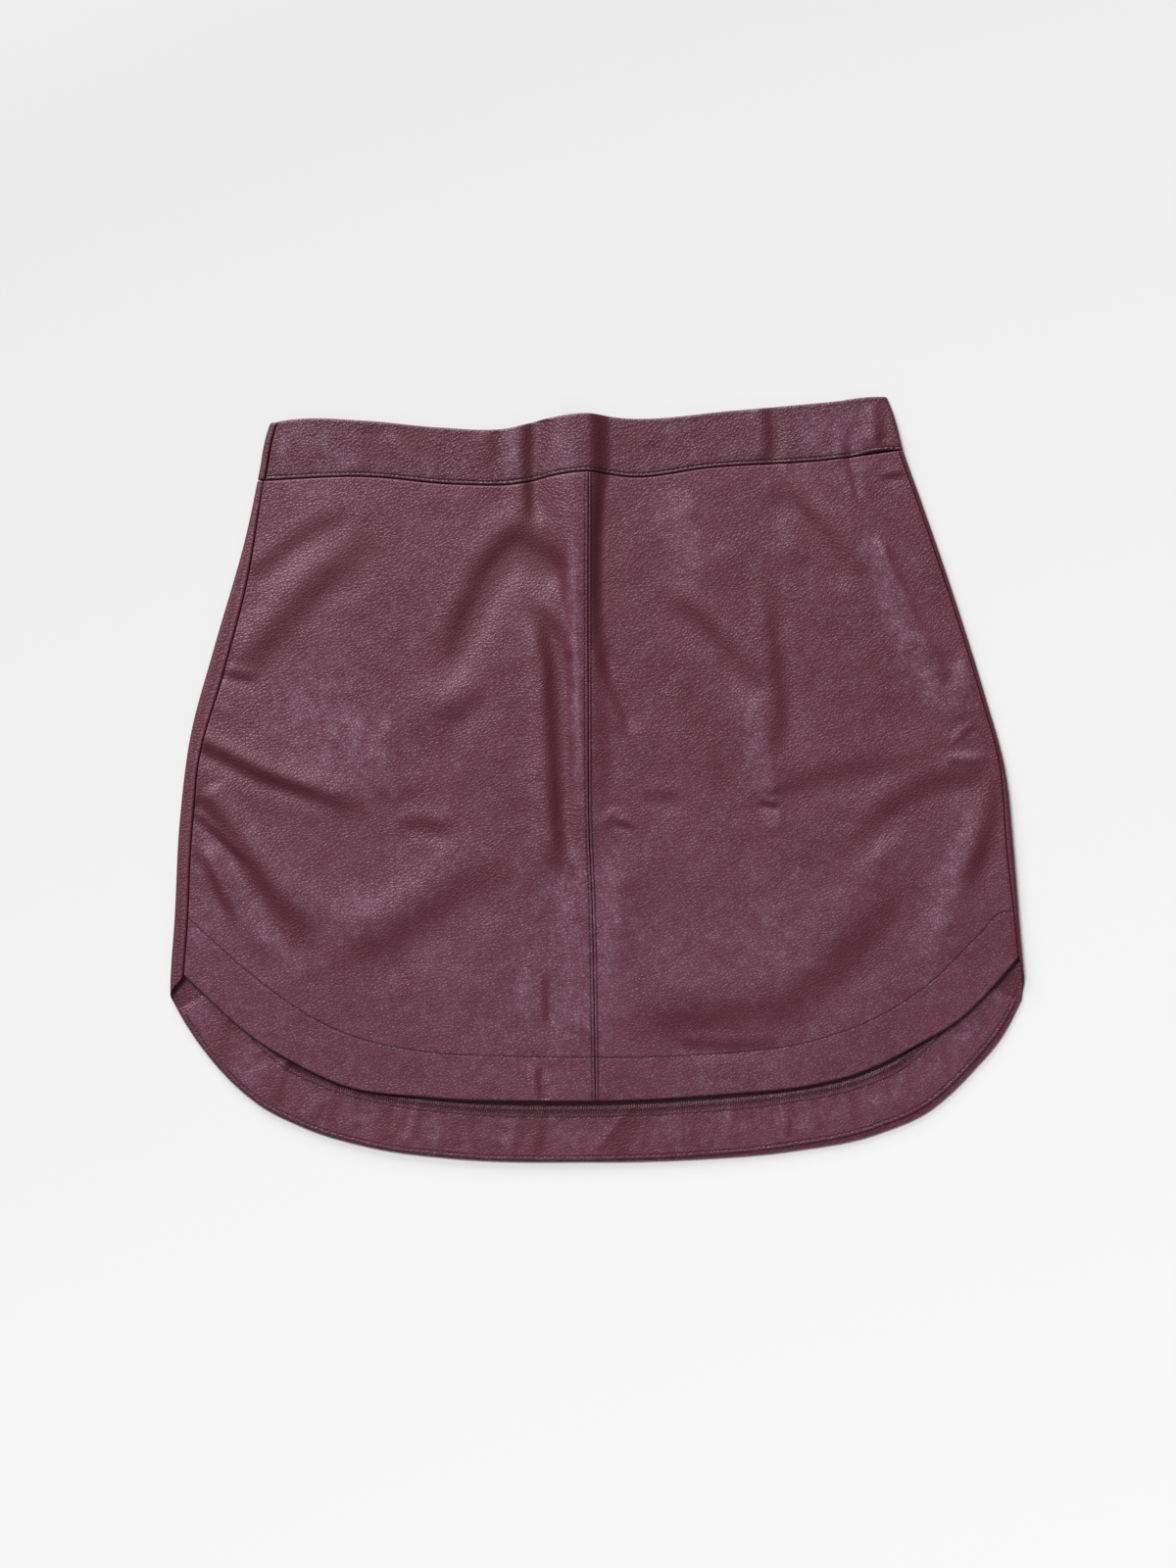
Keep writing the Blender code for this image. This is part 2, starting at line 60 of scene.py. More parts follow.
def new_material(name):
    """A new material, its node tree and its Principled shader."""
    made = bpy.data.materials.new(name)
    made.use_nodes = True
    return made, made.node_tree, made.node_tree.nodes["Principled BSDF"]


def feed(tree, socket, value):
    """Give an input a number or a colour, or link it to the socket that feeds it."""
    if isinstance(value, bpy.types.NodeSocket):
        tree.links.new(value, socket)
    else:
        socket.default_value = (*value, 1.0) if isinstance(value, tuple) else value


def math_node(tree, operation, first, second=0.0, third=0.0, clamp=False):
    """A Math node; an input is a number or the socket that feeds it."""
    node = tree.nodes.new("ShaderNodeMath")
    node.operation = operation
    node.use_clamp = clamp
    for socket, value in zip(node.inputs, (first, second, third)):
        feed(tree, socket, value)
    return node.outputs[0]


def mixed(tree, factor, first, second):
    """The colour that lies between two others."""
    node = tree.nodes.new("ShaderNodeMix")
    node.data_type = "RGBA"
    for label, value in (("Factor", factor), ("A", first), ("B", second)):
        feed(tree, node.inputs[label], value)
    return node.outputs["Result"]


def object_place(tree):
    """Each point's own place on the object, so that a texture stays put on it."""
    return tree.nodes.new("ShaderNodeTexCoord").outputs["Object"]


def texture(tree, kind, place, **settings):
    """A texture node fed with a place, with its named inputs set."""
    node = tree.nodes.new("ShaderNodeTex" + kind)
    tree.links.new(place, node.inputs["Vector"])
    for label, value in settings.items():
        node.inputs[label].default_value = value
    return node


def bumped(tree, shader, height, depth):
    """Bump a surface by a height times a depth in millimetres."""
    bump = tree.nodes.new("ShaderNodeBump")
    bump.inputs["Strength"].default_value = 1.0
    bump.inputs["Distance"].default_value = depth * MM
    tree.links.new(height, bump.inputs["Height"])
    tree.links.new(bump.outputs["Normal"], shader.inputs["Normal"])


def leather_grain_group():
    """Pebbles about a millimetre across, pores and soft wrinkles as one height; the leather's slow
    mottling; and how far each pebble stands up, which is where the painted highlight falls first."""
    group, entry, out = new_group("leather_grain", [("Wrinkles", 0.5)], ["Height", "Bloom", "Raised"])
    place = object_place(group)
    bend = texture(group, "Noise", place, Scale=210.0, Detail=2.0)
    shift = group.nodes.new("ShaderNodeVectorMath")
    shift.operation = "MULTIPLY_ADD"
    shift.inputs[1].default_value = (0.0012, 0.0012, 0.0012)
    group.links.new(bend.outputs["Color"], shift.inputs[0])
    group.links.new(place, shift.inputs[2])
    pebble = texture(group, "Voronoi", shift.outputs[0], Scale=500.0)
    pebble.feature = "DISTANCE_TO_EDGE"
    rounded = math_node(group, "MULTIPLY", pebble.outputs["Distance"], 3.2, clamp=True)
    rounded = math_node(group, "POWER", rounded, 0.7)
    pores = texture(group, "Noise", place, Scale=2300.0, Detail=2.0).outputs["Fac"]
    wrinkle = texture(group, "Noise", place, Scale=130.0, Detail=6.0, Roughness=0.62, Distortion=0.7)
    height = math_node(group, "MULTIPLY", rounded, 0.85)
    height = math_node(group, "MULTIPLY_ADD", pores, 0.45, height)
    fold = math_node(group, "MULTIPLY", wrinkle.outputs["Fac"], entry.outputs["Wrinkles"])
    feed(group, out.inputs["Height"], math_node(group, "MULTIPLY_ADD", fold, 2.4, height))
    bloom = texture(group, "Noise", place, Scale=26.0, Detail=4.0)
    feed(group, out.inputs["Bloom"], bloom.outputs["Fac"])
    raised = math_node(group, "MULTIPLY_ADD", wrinkle.outputs["Fac"], 2.4, -0.75)
    feed(group, out.inputs["Raised"], math_node(group, "MULTIPLY", rounded, raised, clamp=True))
    return group


ROW_HALF_WIDTH = 0.55


def leather_line_group():
    """Where a row of stitches sinks into the leather: 1 on the line, from its distance in millimetres."""
    group, entry, out = new_group("leather_line", [("Distance", 9.0)], ["Groove"])
    share = math_node(group, "DIVIDE", entry.outputs["Distance"], ROW_HALF_WIDTH)
    fall = math_node(group, "MULTIPLY", math_node(group, "MULTIPLY", share, share), -1.0)
    feed(group, out.inputs["Groove"], math_node(group, "EXPONENT", fall))
    return group


leather_grain = leather_grain_group()
leather_line = leather_line_group()
# Colours of painted light in the leather: a pale painted highlight, dark painted shade in creases, and dark
# painted shade in the sunk rows of stitches.
PAINTED_HIGHLIGHT_PALE = (0.290, 0.175, 0.240)
PAINTED_CREASE_SHADE_DARK = (0.066, 0.0010, 0.009)
PAINTED_ROW_SHADE_DARK = (0.020, 0.004, 0.008)


def leather(name, deep, pale, roughness, wrinkles, grain_depth):
    """The coated leather. deep and pale are the two ends of its colour's slow variation. Its raised grain
    takes a painted highlight where the painted light is above zero, and painted shade, dark and matt, in
    creases where it is below; the sunk rows of stitches take painted shade."""
    made, tree, shader = new_material(name)
    grain, line = tree.nodes.new("ShaderNodeGroup"), tree.nodes.new("ShaderNodeGroup")
    grain.node_tree, line.node_tree = leather_grain, leather_line
    grain.inputs["Wrinkles"].default_value = wrinkles
    row, painted_light_and_wear = tree.nodes.new("ShaderNodeAttribute"), tree.nodes.new("ShaderNodeAttribute")
    row.attribute_name, painted_light_and_wear.attribute_name = "stitch_line", "painted_light_and_wear"
    feed(tree, line.inputs["Distance"], row.outputs["Fac"])
    groove = line.outputs["Groove"]
    # Painted light: above zero a pale painted highlight goes on the raised grain, below zero dark painted
    # shade goes in the creases.
    painted_highlight = math_node(tree, "MULTIPLY", painted_light_and_wear.outputs["Fac"], 1.0, clamp=True)
    painted_crease_shade = math_node(tree, "MULTIPLY", painted_light_and_wear.outputs["Fac"], -1.0, clamp=True)
    spread = math_node(tree, "MULTIPLY_ADD", grain.outputs["Bloom"], 2.2, -0.6, clamp=True)
    raised = math_node(tree, "MULTIPLY_ADD", grain.outputs["Raised"], 0.66, 0.06)
    colour = mixed(tree, spread, deep, pale)
    colour = mixed(tree, math_node(tree, "MULTIPLY", painted_highlight, raised), colour, PAINTED_HIGHLIGHT_PALE)
    colour = mixed(tree, math_node(tree, "MULTIPLY", painted_crease_shade, 0.7), colour, PAINTED_CREASE_SHADE_DARK)
    # Painted shade along the sunk rows of stitches.
    colour = mixed(tree, math_node(tree, "MULTIPLY", groove, 0.8), colour, PAINTED_ROW_SHADE_DARK)
    feed(tree, shader.inputs["Base Color"], colour)
    rough = math_node(tree, "MULTIPLY_ADD", grain.outputs["Bloom"], 0.16, roughness - 0.08)
    feed(tree, shader.inputs["Roughness"], math_node(tree, "MULTIPLY_ADD", painted_crease_shade, 0.14, rough))
    shader.inputs["Specular IOR Level"].default_value = 0.70
    shader.inputs["Specular Tint"].default_value = (1.0, 0.88, 1.0, 1.0)
    bumped(tree, shader, math_node(tree, "MULTIPLY_ADD", groove, -0.4, grain.outputs["Height"]), grain_depth)
    return made


skirt_leather = leather("skirt_leather", (0.088, 0.0120, 0.0280), (0.104, 0.0165, 0.035), 0.41, 0.65, 0.15)


def smooth(points):
    """A smooth line through (place, value) points, as a function of the place."""
    places = np.array([p[0] for p in points], float)
    values = np.array([p[1] for p in points], float)
    slopes = np.gradient(values, places)

    def value(place):
        place = np.clip(place, places[0], places[-1])
        i = np.clip(np.searchsorted(places, place) - 1, 0, len(places) - 2)
        span = places[i + 1] - places[i]
        t = (place - places[i]) / span
        start = (1 + 2 * t) * (1 - t) ** 2 * values[i] + t * (1 - t) ** 2 * span * slopes[i]
        end = t * t * (3 - 2 * t) * values[i + 1] + t * t * (t - 1) * span * slopes[i + 1]
        return start + end

    return value


def ease(share):
    """0 to 1 with level ends."""
    share = np.clip(share, 0.0, 1.0)
    return share * share * (3 - 2 * share)


def between(start, end, share):
    """The value at a share of the way from start to end."""
    return start + (end - start) * share


FINE = np.array([0.0, 0.2, 0.5, 0.9, 1.3, 1.6, 1.9, 2.2, 2.6, 3.2, 4.0])


def spaced(length, pitch):
    """Places from 0 to a piece's length, close together near both ends."""
    count = max(int(round((length - 2 * FINE[-1]) / pitch)), 1)
    middle = np.linspace(FINE[-1], length - FINE[-1], count + 1)
    return np.concatenate([FINE[:-1], middle, (length - FINE[:-1])[::-1]])


def patch(bottom, top, left, right, u, v):
    """Points of a Coons patch between four curves, each a function of a share from 0 to 1."""
    shares = [np.zeros(1), np.ones(1)]
    corner = {(i, j): np.array([bottom, top][j](shares[i])) for i in (0, 1) for j in (0, 1)}
    ruled = (1 - v) * np.array(bottom(u)) + v * np.array(top(u))
    ruled = ruled + (1 - u) * np.array(left(v)) + u * np.array(right(v))
    flat = (1 - u) * ((1 - v) * corner[0, 0] + v * corner[0, 1])
    flat = flat + u * ((1 - v) * corner[1, 0] + v * corner[1, 1])
    return ruled - flat


def rounded_edge(away, depth, reach):
    """How far a face drops as it turns over an edge, from its distance to the edge."""
    share = 1 - np.clip(away / reach, 0, 1)
    return depth * (1 - np.sqrt(1 - np.minimum(share, 0.999) ** 2))


def hump(away, half_width):
    """1 at no distance, fading softly over about a half width."""
    return np.exp(-(away / half_width) ** 2)


def mesh_from(bm, name, finish):
    """The mesh of a finished bmesh, in one material."""
    mesh = bpy.data.meshes.new(name)
    bm.to_mesh(mesh)
    bm.free()
    mesh.materials.append(finish)
    return mesh


def in_scene(name, data):
    """A new object in the scene that holds a mesh, curve, light or camera."""
    made = bpy.data.objects.new(name, data)
    bpy.context.scene.collection.objects.link(made)
    return made


SHARP_EDGE = math.radians(62)
FAR_FROM_ROWS = 9.0


def laid_cloth(name, across, along, place, finish, lines=None, painted_light_and_wear=None):
    """A cut piece laid in place. place(u, v, inner) gives x, y and z in millimetres for shares of the
    piece's width and length; lines(x, y) gives each point's distance from a row of stitches, and the
    last function, of x and y, how much painted highlight (above zero) or painted shade (below zero) it
    takes."""
    bm = bmesh.new()
    bmesh.ops.create_grid(bm, x_segments=len(across) - 1, y_segments=len(along) - 1, size=0.5)
    bmesh.ops.extrude_face_region(bm, geom=list(bm.faces), use_keep_orig=True)
    bm.verts.ensure_lookup_table()
    flat = np.array([v.co[:2] for v in bm.verts]) + 0.5
    half = len(flat) // 2
    column = np.rint(flat[:, 0] * (len(across) - 1)).astype(int)
    row = np.rint(flat[:, 1] * (len(along) - 1)).astype(int)
    u, v = across[column] / across[-1], along[row] / along[-1]
    points = np.empty((len(flat), 3))
    points[:half] = np.stack(place(u[:half], v[:half], False), axis=1)
    points[half:] = np.stack(place(u[half:], v[half:], True), axis=1)
    for vert, point in zip(bm.verts, points * MM):
        vert.co = point
    bmesh.ops.recalc_face_normals(bm, faces=bm.faces)
    mesh = mesh_from(bm, name, finish)
    x, y = points[:, 0], points[:, 1]
    away = np.full(len(points), FAR_FROM_ROWS) if lines is None else lines(x, y)
    # Painted light for each point: painted highlight above zero, painted shade below.
    painted_light = np.zeros(len(points)) if painted_light_and_wear is None else painted_light_and_wear(x, y)
    for label, values in (("stitch_line", away), ("painted_light_and_wear", painted_light)):
        mesh.attributes.new(label, "FLOAT", "POINT").data.foreach_set("value", values)
    mesh.shade_smooth()
    mesh.set_sharp_from_angle(angle=SHARP_EDGE)
    return in_scene(name + "_cloth", mesh)


ROUTE_PITCH = 5.0


def reached(knots):
    """How far along a route each of its knots is."""
    return np.concatenate([[0], np.cumsum(np.hypot(*np.diff(knots, axis=0).T))])


def near_route(x, y, route, reach):
    """Which points are within reach of a smooth route through x, y pairs, their signed distance to it
    (left of it is positive) and the share of the route that they are at."""
    knots = np.reshape(route, (-1, 2)).astype(float)
    near = (x > knots[:, 0].min() - reach) & (x < knots[:, 0].max() + reach)
    near &= (y > knots[:, 1].min() - reach) & (y < knots[:, 1].max() + reach)
    x, y = x[near], y[near]
    best, side, share = np.full(x.shape, 1e9), np.ones(x.shape), np.zeros(x.shape)
    if not near.any():
        return near, best, share
    lengths = reached(knots)
    count = max(int(lengths[-1] / ROUTE_PITCH), len(knots))
    places = np.linspace(0, lengths[-1], count + 1)
    path = [smooth(list(zip(lengths, knots[:, axis])))(places) for axis in (0, 1)]
    for i in range(count):
        ax, ay = path[0][i], path[1][i]
        dx, dy = path[0][i + 1] - ax, path[1][i + 1] - ay
        t = np.clip(((x - ax) * dx + (y - ay) * dy) / (dx * dx + dy * dy), 0, 1)
        away = np.hypot(x - ax - t * dx, y - ay - t * dy)
        closer = away < best
        best = np.where(closer, away, best)
        side = np.where(closer, np.sign(dx * (y - ay) - dy * (x - ax)), side)
        share = np.where(closer, (i + t) / count, share)
    return near, best * side, share


def folded(x, y, folds):
    """The height that folds add. Each is a kind, a route, a width (or one at its start and one at its
    end), a height, and the shares over which it fades at its two ends, 0.3 unless it says otherwise. A
    ridge (trough if negative) is highest on its route; a step is high on its left and low on its right."""
    total = np.zeros(x.shape)
    for kind, route, width, height, *fades in folds:
        widths = np.broadcast_to(width, 2)
        near, away, share = near_route(x, y, route, 3.0 * max(widths))
        t = away / between(widths[0], widths[1], share)
        profile = np.exp(-t * t) if kind == "ridge" else 1.65 * t * np.exp(-t * t / 2)
        start_fade, end_fade = fades or (0.3, 0.3)
        total[near] += height * profile * (ease(share / start_fade) * ease((1 - share) / end_fade))
    return total


def soft_noise(x, y, size, seed):
    """Slow random heights from about -1 to 1, with lumps of that size in millimetres."""
    points = np.stack([x / size, y / size, np.full(x.shape, seed)], axis=1)
    return np.array([noise.noise(Vector(p)) for p in points])


def uneven(x, y, seed):
    """The small unevenness that a worn, steamed leather keeps, in millimetres."""
    return 0.34 * soft_noise(x, y, 34.0, seed) + 0.17 * soft_noise(x, y, 13.0, seed + 7.3)


LEATHER_THICK = 1.0
FOLD_RADIUS = 2.4
FOLD_TOP = 2 * FOLD_RADIUS
SEAM_GAP = 0.3
HALF_GAP = SEAM_GAP / 2
ZIP_X = -9.0
RIDGE_TOP = 3.5
BACK_RIDGE = 4.5

left_fold = smooth([(-140, -261.3), (-125, -261.2), (-85, -258.6), (-25, -255.4), (30, -248.2),
                    (79, -234.9), (151, -214.5), (187, -207.0), (211, -202.4), (222, -198.6)])
right_fold = smooth([(-140, 262.4), (-120, 261.0), (-85, 258.0), (-40, 254.4), (7, 249.3), (55, 236.1),
                     (116, 216.9), (175, 196.5), (200, 187.6), (223, 181.4), (236, 176.4)])
left_seam = smooth([(-122, -253.0), (-85, -250.2), (-50, -248.8), (-15, -246.2), (10, -243.6),
                    (63, -228.9), (117, -214.8), (184, -203.8)])
right_strip = smooth([(-108, 2.9), (-85, 2.9), (-50, 4.2), (-20, 4.0), (10, 3.0), (60, 2.8), (202, 2.8)])
back_hem = smooth([(-262, -131), (-252, -149), (-235, -172.5), (-210, -196.5), (-182, -211.5),
                   (-140, -224.4), (-90, -231.3), (-8, -233.6), (60, -231), (120, -224.8),
                   (172, -213.4), (206, -197), (231, -173), (250, -149), (262.5, -124)])
band_seam = smooth([(-208, 182.6), (-142, 185.2), (-84, 180.4), (-46, 181.2), (-27, 185.6), (-8, 188),
                    (22, 184.8), (68, 190.5), (141, 195.3), (189, 201.8)])
waist_edge = smooth([(-203, 217.4), (-187, 220), (-142, 219.3), (-97, 215.2), (-55, 214.6),
                     (-30, 220.6), (-8, 223.4), (18, 220.6), (82, 225.3), (142, 230.7), (185, 234.6)])
LEFT_SEAM_FOOT = -120.5
RIGHT_SEAM_FOOT = -107.5
LEFT_HEAD_X = -204.0
RIGHT_HEAD_X = 184.6

ridge_height = smooth([(-75, 0.0), (-48, 0.05), (-20, 0.20), (20, 0.32), (60, 0.42), (90, 0.58),
                       (125, 0.84), (160, 1.0), (230, 1.0)])
ridge_left = smooth([(-75, 9.0), (80, 8.0), (115, 12.0), (140, 20.0), (165, 30.0), (230, 30.0)])
ridge_right = smooth([(-75, 16.0), (20, 16.0), (70, 12.0), (120, 9.0), (165, 10.0), (190, 13.0),
                      (230, 13.0)])


def ridge(x, y):
    """The zip ridge as a share of its height: level on top, long to the left, steep to the right."""
    aside = x - ZIP_X
    reach = np.where(aside > 0, ridge_right(y), ridge_left(y))
    return ridge_height(y) * (1 - ease((np.abs(aside) - RIDGE_TOP) / reach))


# Soft folds of the back where it isn't pressed by the zip: pinches from the side folds.
BACK_FOLDS = [
    ("ridge", (-238, 60, -190, 72, -120, 60), (5, 12), 0.7, 0.3, 0.4),
    ("ridge", (-244, -30, -200, -10, -130, -20), (5, 14), 0.8, 0.3, 0.4),
    ("ridge", (-236, -110, -180, -80, -110, -90), (6, 14), 0.7, 0.3, 0.4),
    ("ridge", (236, 40, 180, 30, 110, 50), (5, 14), 0.8, 0.3, 0.4),
    ("ridge", (240, -50, 190, -60, 120, -40), (5, 13), 0.7, 0.3, 0.4),
    ("ridge", (20, -150, 90, -120, 160, -130), 12, 0.6, 0.4, 0.4),
    ("ridge", (-30, 20, -60, -40, -50, -110), 10, 0.6, 0.4, 0.4),
    ("ridge", (30, 150, 60, 110, 110, 90), 11, 0.6, 0.4, 0.4),
]


def back_height(x, y):
    """Height of the back's outer face, which lies on the surface but for the ridge and a few folds."""
    fold = np.minimum(x - left_fold(y), right_fold(y) - x)
    loose = ease(fold / 30.0) * ease((y - back_hem(x)) / 30.0)
    return BACK_RIDGE * ridge(x, y) + loose * folded(x, y, BACK_FOLDS)


def marks(x, y, table):
    """Marks of painted highlight and painted crease shade, each a route, a half width and a strength, below
    zero for painted shade.
    """
    painted_light = np.zeros(x.shape)
    for route, half_width, strength in table:
        near, away, share = near_route(x, y, route, 2.6 * half_width)
        fade = ease(share / 0.12 + 0.25) * ease((1 - share) / 0.12 + 0.25)
        painted_light[near] += strength * fade * hump(away, half_width)
    return painted_light


def fold_light_and_shade(x, y):
    """Painted shade, dark and matt, round the side folds and in the waist seam, a painted highlight on the
    strip past each fold, and painted sheen in patches elsewhere.
    """
    aside = np.minimum(x - left_fold(y), right_fold(y) - x)
    patchy = soft_noise(x, y, 11.0, 21.0)
    # Painted shade over the roll of each side fold, a painted highlight on the strip 4.6 mm past it, patchy
    # painted sheen, and painted shade in the waist seam.
    painted_light = 0.25 * patchy - 0.5 * np.exp(-(aside / 8.0) ** 4) - 0.5 * hump(aside - 0.3, 1.3)
    painted_light = painted_light + 0.45 * hump(aside - 4.6, 0.9) * (0.6 + soft_noise(x, y, 14.0, 23.0))
    return np.clip(painted_light - 0.9 * hump(y - band_seam(x), 0.9), -1, 1)


BACK_PITCH = 2.4


def wrapped_piece(name, fold, inward, centre_x, hem, head, strip, seam_ends, finish, thick=LEATHER_THICK,
                  lines=None):
    """A back piece: level from the centre to a side fold, round it, and on to a seam on the front.
    strip gives the width past the fold from y; inward is 1 at the left fold and -1 at the right one."""
    low_foot = float(hem(float(fold(seam_ends[0])) + inward * FOLD_RADIUS))
    low_head = float(head(float(fold(seam_ends[1])) + inward * FOLD_RADIUS))
    bend = math.pi * FOLD_RADIUS
    past = float(strip((seam_ends[0] + seam_ends[1]) / 2)) - FOLD_RADIUS
    level = abs(float(fold(0.0)) - centre_x) - FOLD_RADIUS
    across = spaced(level, BACK_PITCH)
    across = np.concatenate([across[across < level - 2.0], [level], level + np.linspace(0, bend, 11)[1:],
                             level + bend + np.linspace(0, past, 9)[1:]])
    level_end, bend_end = level / across[-1], (level + bend) / across[-1]
    along = spaced(float(head(centre_x)) - float(hem(centre_x)), BACK_PITCH)

    def start(v):
        y = between(low_foot, low_head, v)
        return fold(y) + inward * FOLD_RADIUS, y

    def bottom(u):
        x = between(centre_x, start(np.zeros(1))[0][0], u)
        return x, hem(x)

    def top(u):
        x = between(centre_x, start(np.ones(1))[0][0], u)
        return x, head(x)

    def centre(v):
        y = between(float(hem(centre_x)), float(head(centre_x)), v)
        return np.full(np.shape(v), centre_x), y

    def place(u, v, inner):
        depth = thick if inner else 0.0
        ends = rounded_edge(np.minimum(v, 1 - v) * along[-1], 0.75 * thick, 1.3)
        turned = 0.0 if inner else 1.0
        flat_u = np.clip(u / level_end, 0, 1)
        x, y = patch(bottom, top, centre, start, flat_u, v)
        seam = rounded_edge(flat_u * level, 0.6 * thick, 1.0)
        z = back_height(x, y) + depth + turned * np.maximum(ends, seam)
        low, high = between(low_foot, low_head, v), between(seam_ends[0], seam_ends[1], v)
        wide = np.maximum(strip(high) - FOLD_RADIUS, 0.15)
        turn = np.clip((u - level_end) / (bend_end - level_end), 0, 1)
        out = np.clip((u - bend_end) / (1 - bend_end), 0, 1)
        y_side = between(low, high, (turn * bend + out * wide) / (bend + wide))
        angle = math.pi * (turn - 0.5)
        radius = FOLD_RADIUS - depth - turned * ends
        x_side = fold(y_side) + inward * (FOLD_RADIUS - radius * np.cos(angle) + out * wide)
        z_side = FOLD_RADIUS + radius * np.sin(angle)
        to_seam = (1 - out) * wide
        pipe = 0.35 * hump(to_seam - 1.3, 0.8) * (out > 0) * (wide > 2.0)
        z_side = z_side + turned * (pipe - rounded_edge(to_seam, 0.7 * thick, 0.9) * (out > 0))
        flat = u <= level_end + 1e-9
        return np.where(flat, x, x_side), np.where(flat, y, y_side), np.where(flat, z, z_side)

    return laid_cloth(name, across, along, place, finish, lines, fold_light_and_shade)


def lower_seam(x):
    return band_seam(x) - HALF_GAP


EDGE_ROW = 3.0
TOP_ROW = 27.0


def back_rows(x, y):
    """Signed distance to the nearer row of stitches along the back hem, in millimetres."""
    aside = (y - back_hem(x)) / np.hypot(1, (back_hem(x + 1) - back_hem(x - 1)) / 2)
    return (aside - EDGE_ROW) * (TOP_ROW - aside) / (TOP_ROW - EDGE_ROW)


back_panel_left = wrapped_piece(
    "back_panel_left", left_fold, 1, ZIP_X - HALF_GAP, back_hem, lower_seam,
    lambda y: left_seam(y) - left_fold(y) - HALF_GAP, (LEFT_SEAM_FOOT, float(lower_seam(LEFT_HEAD_X))),
    skirt_leather, lines=back_rows)
back_panel_right = wrapped_piece(
    "back_panel_right", right_fold, -1, ZIP_X + HALF_GAP, back_hem, lower_seam,
    lambda y: right_strip(y) - HALF_GAP, (RIGHT_SEAM_FOOT, float(lower_seam(RIGHT_HEAD_X))), skirt_leather,
    lines=back_rows)


def is_part_of_skirt(piece, node):
    """The piece rides with the skirt and stands for a CAD node, which it hides."""
    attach(piece, "skirt")
    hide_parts(node)


is_part_of_skirt(back_panel_left, "back_panel_left")
is_part_of_skirt(back_panel_right, "back_panel_right")


# ---------------------------------------------------------------- back waistband
# Two lengths of doubled leather, a little stiffer than the panels, that stop either side of the zip. The
# left one comes round the fold to a seam on the front; the right one stops short of its fold.

BAND_THICK = 1.7
BAND_HEIGHT = 33.0
BAND_STRIP_LEFT = 4.7
BAND_STRIP_RIGHT = 4.2
ZIP_GAP = 2.0

band_leather = leather("band_leather", (0.064, 0.0060, 0.0175), (0.078, 0.0095, 0.024), 0.43, 0.6, 0.17)


def upper_seam(x):
    return band_seam(x) + HALF_GAP


band_left_ends = (float(upper_seam(-202.0)), float(waist_edge(-198.0)))
band_right_ends = (float(upper_seam(184.0)), float(waist_edge(178.0)))

waistband_back_left = wrapped_piece(
    "waistband_back_left", left_fold, 1, ZIP_X - ZIP_GAP / 2, upper_seam, waist_edge,
    lambda y: np.full(np.shape(y), BAND_STRIP_LEFT - HALF_GAP), band_left_ends, band_leather, BAND_THICK)


def band_back_right():
    """The right back waistband: level, from the zip to its seam beneath the right fold."""
    start_x = ZIP_X + ZIP_GAP / 2
    low_y, high_y = band_right_ends
    across = spaced(float(right_fold(low_y)) - BAND_STRIP_RIGHT - start_x, BACK_PITCH)
    along = spaced(BAND_HEIGHT, BACK_PITCH)

    def side_x(y):
        return right_fold(y) - BAND_STRIP_RIGHT - HALF_GAP

    def place(u, v, inner):
        low_x = between(start_x, side_x(low_y), u)
        high_x = between(start_x, side_x(high_y), u)
        y = between(upper_seam(low_x), waist_edge(high_x), v)
        x = between(start_x, side_x(y), u)
        away = np.minimum(np.minimum(u, 1 - u) * across[-1], np.minimum(v, 1 - v) * along[-1])
        z = back_height(x, y)
        return x, y, z + (BAND_THICK if inner else rounded_edge(away, 0.6 * BAND_THICK, 1.4))

    return laid_cloth("waistband_back_right", across, along, place, band_leather)


waistband_back_right = band_back_right()
is_part_of_skirt(waistband_back_left, "waistband_back_left")
is_part_of_skirt(waistband_back_right, "waistband_back_right")


# ---------------------------------------------------------------- back hem facing
# A curved strip sewn inside the longer back hem: edge-stitched 3 mm from the hem, stitched again near its
# top, and overlocked along its raw top edge. It puckers between its two rows of stitches.

FACING_THICK = 0.8
FACING_HEIGHT = 34.0
FACING_LENGTH = 545.0
FACING_INSET = 0.7
FACING_ENDS = (0.004, 0.996)
FACING_BASE = LEATHER_THICK + 0.12

facing_leather = leather("facing_leather", (0.101, 0.0185, 0.038), (0.118, 0.0240, 0.046), 0.38, 0.6, 0.15)
facing_start = float(left_fold(-140)) + FOLD_RADIUS
facing_end = float(right_fold(-130)) - FOLD_RADIUS


def facing_plan(share, aside):
    """A point of the facing: share along the hem from left to right, and millimetres in from the hem."""
    def hem_point(s):
        x = between(facing_start, facing_end, s)
        return x, back_hem(x)

    share = between(*FACING_ENDS, share)
    (x0, y0), (x1, y1) = hem_point(share - 0.01), hem_point(share + 0.01)
    length = np.hypot(x1 - x0, y1 - y0)
    x, y = hem_point(share)
    return x - (y1 - y0) / length * aside, y + (x1 - x0) / length * aside


# Puckers across the strip: place along the hem as a share, lean, width and height.
PUCKERS = [
    (0.078, 9, 5, 0.3), (0.105, -5, 5, 0.5), (0.155, 3, 6, 0.3), (0.20, -4, 5, 0.4), (0.255, 2, 4, 0.35),
    (0.275, 3, 4, 0.4), (0.31, -2, 5, 0.3), (0.345, -3, 4, 0.3), (0.400, 2, 5, 0.45), (0.428, 3, 4, 0.4),
    (0.455, -2, 4, 0.3), (0.512, 13, 5, 0.4), (0.555, 4, 5, 0.35), (0.60, -2, 4, 0.25), (0.66, 3, 5, 0.3),
    (0.728, 3, 5, 0.45), (0.762, -4, 5, 0.45), (0.806, 4, 5, 0.35), (0.86, -3, 6, 0.5), (0.915, 5, 5, 0.4),
]
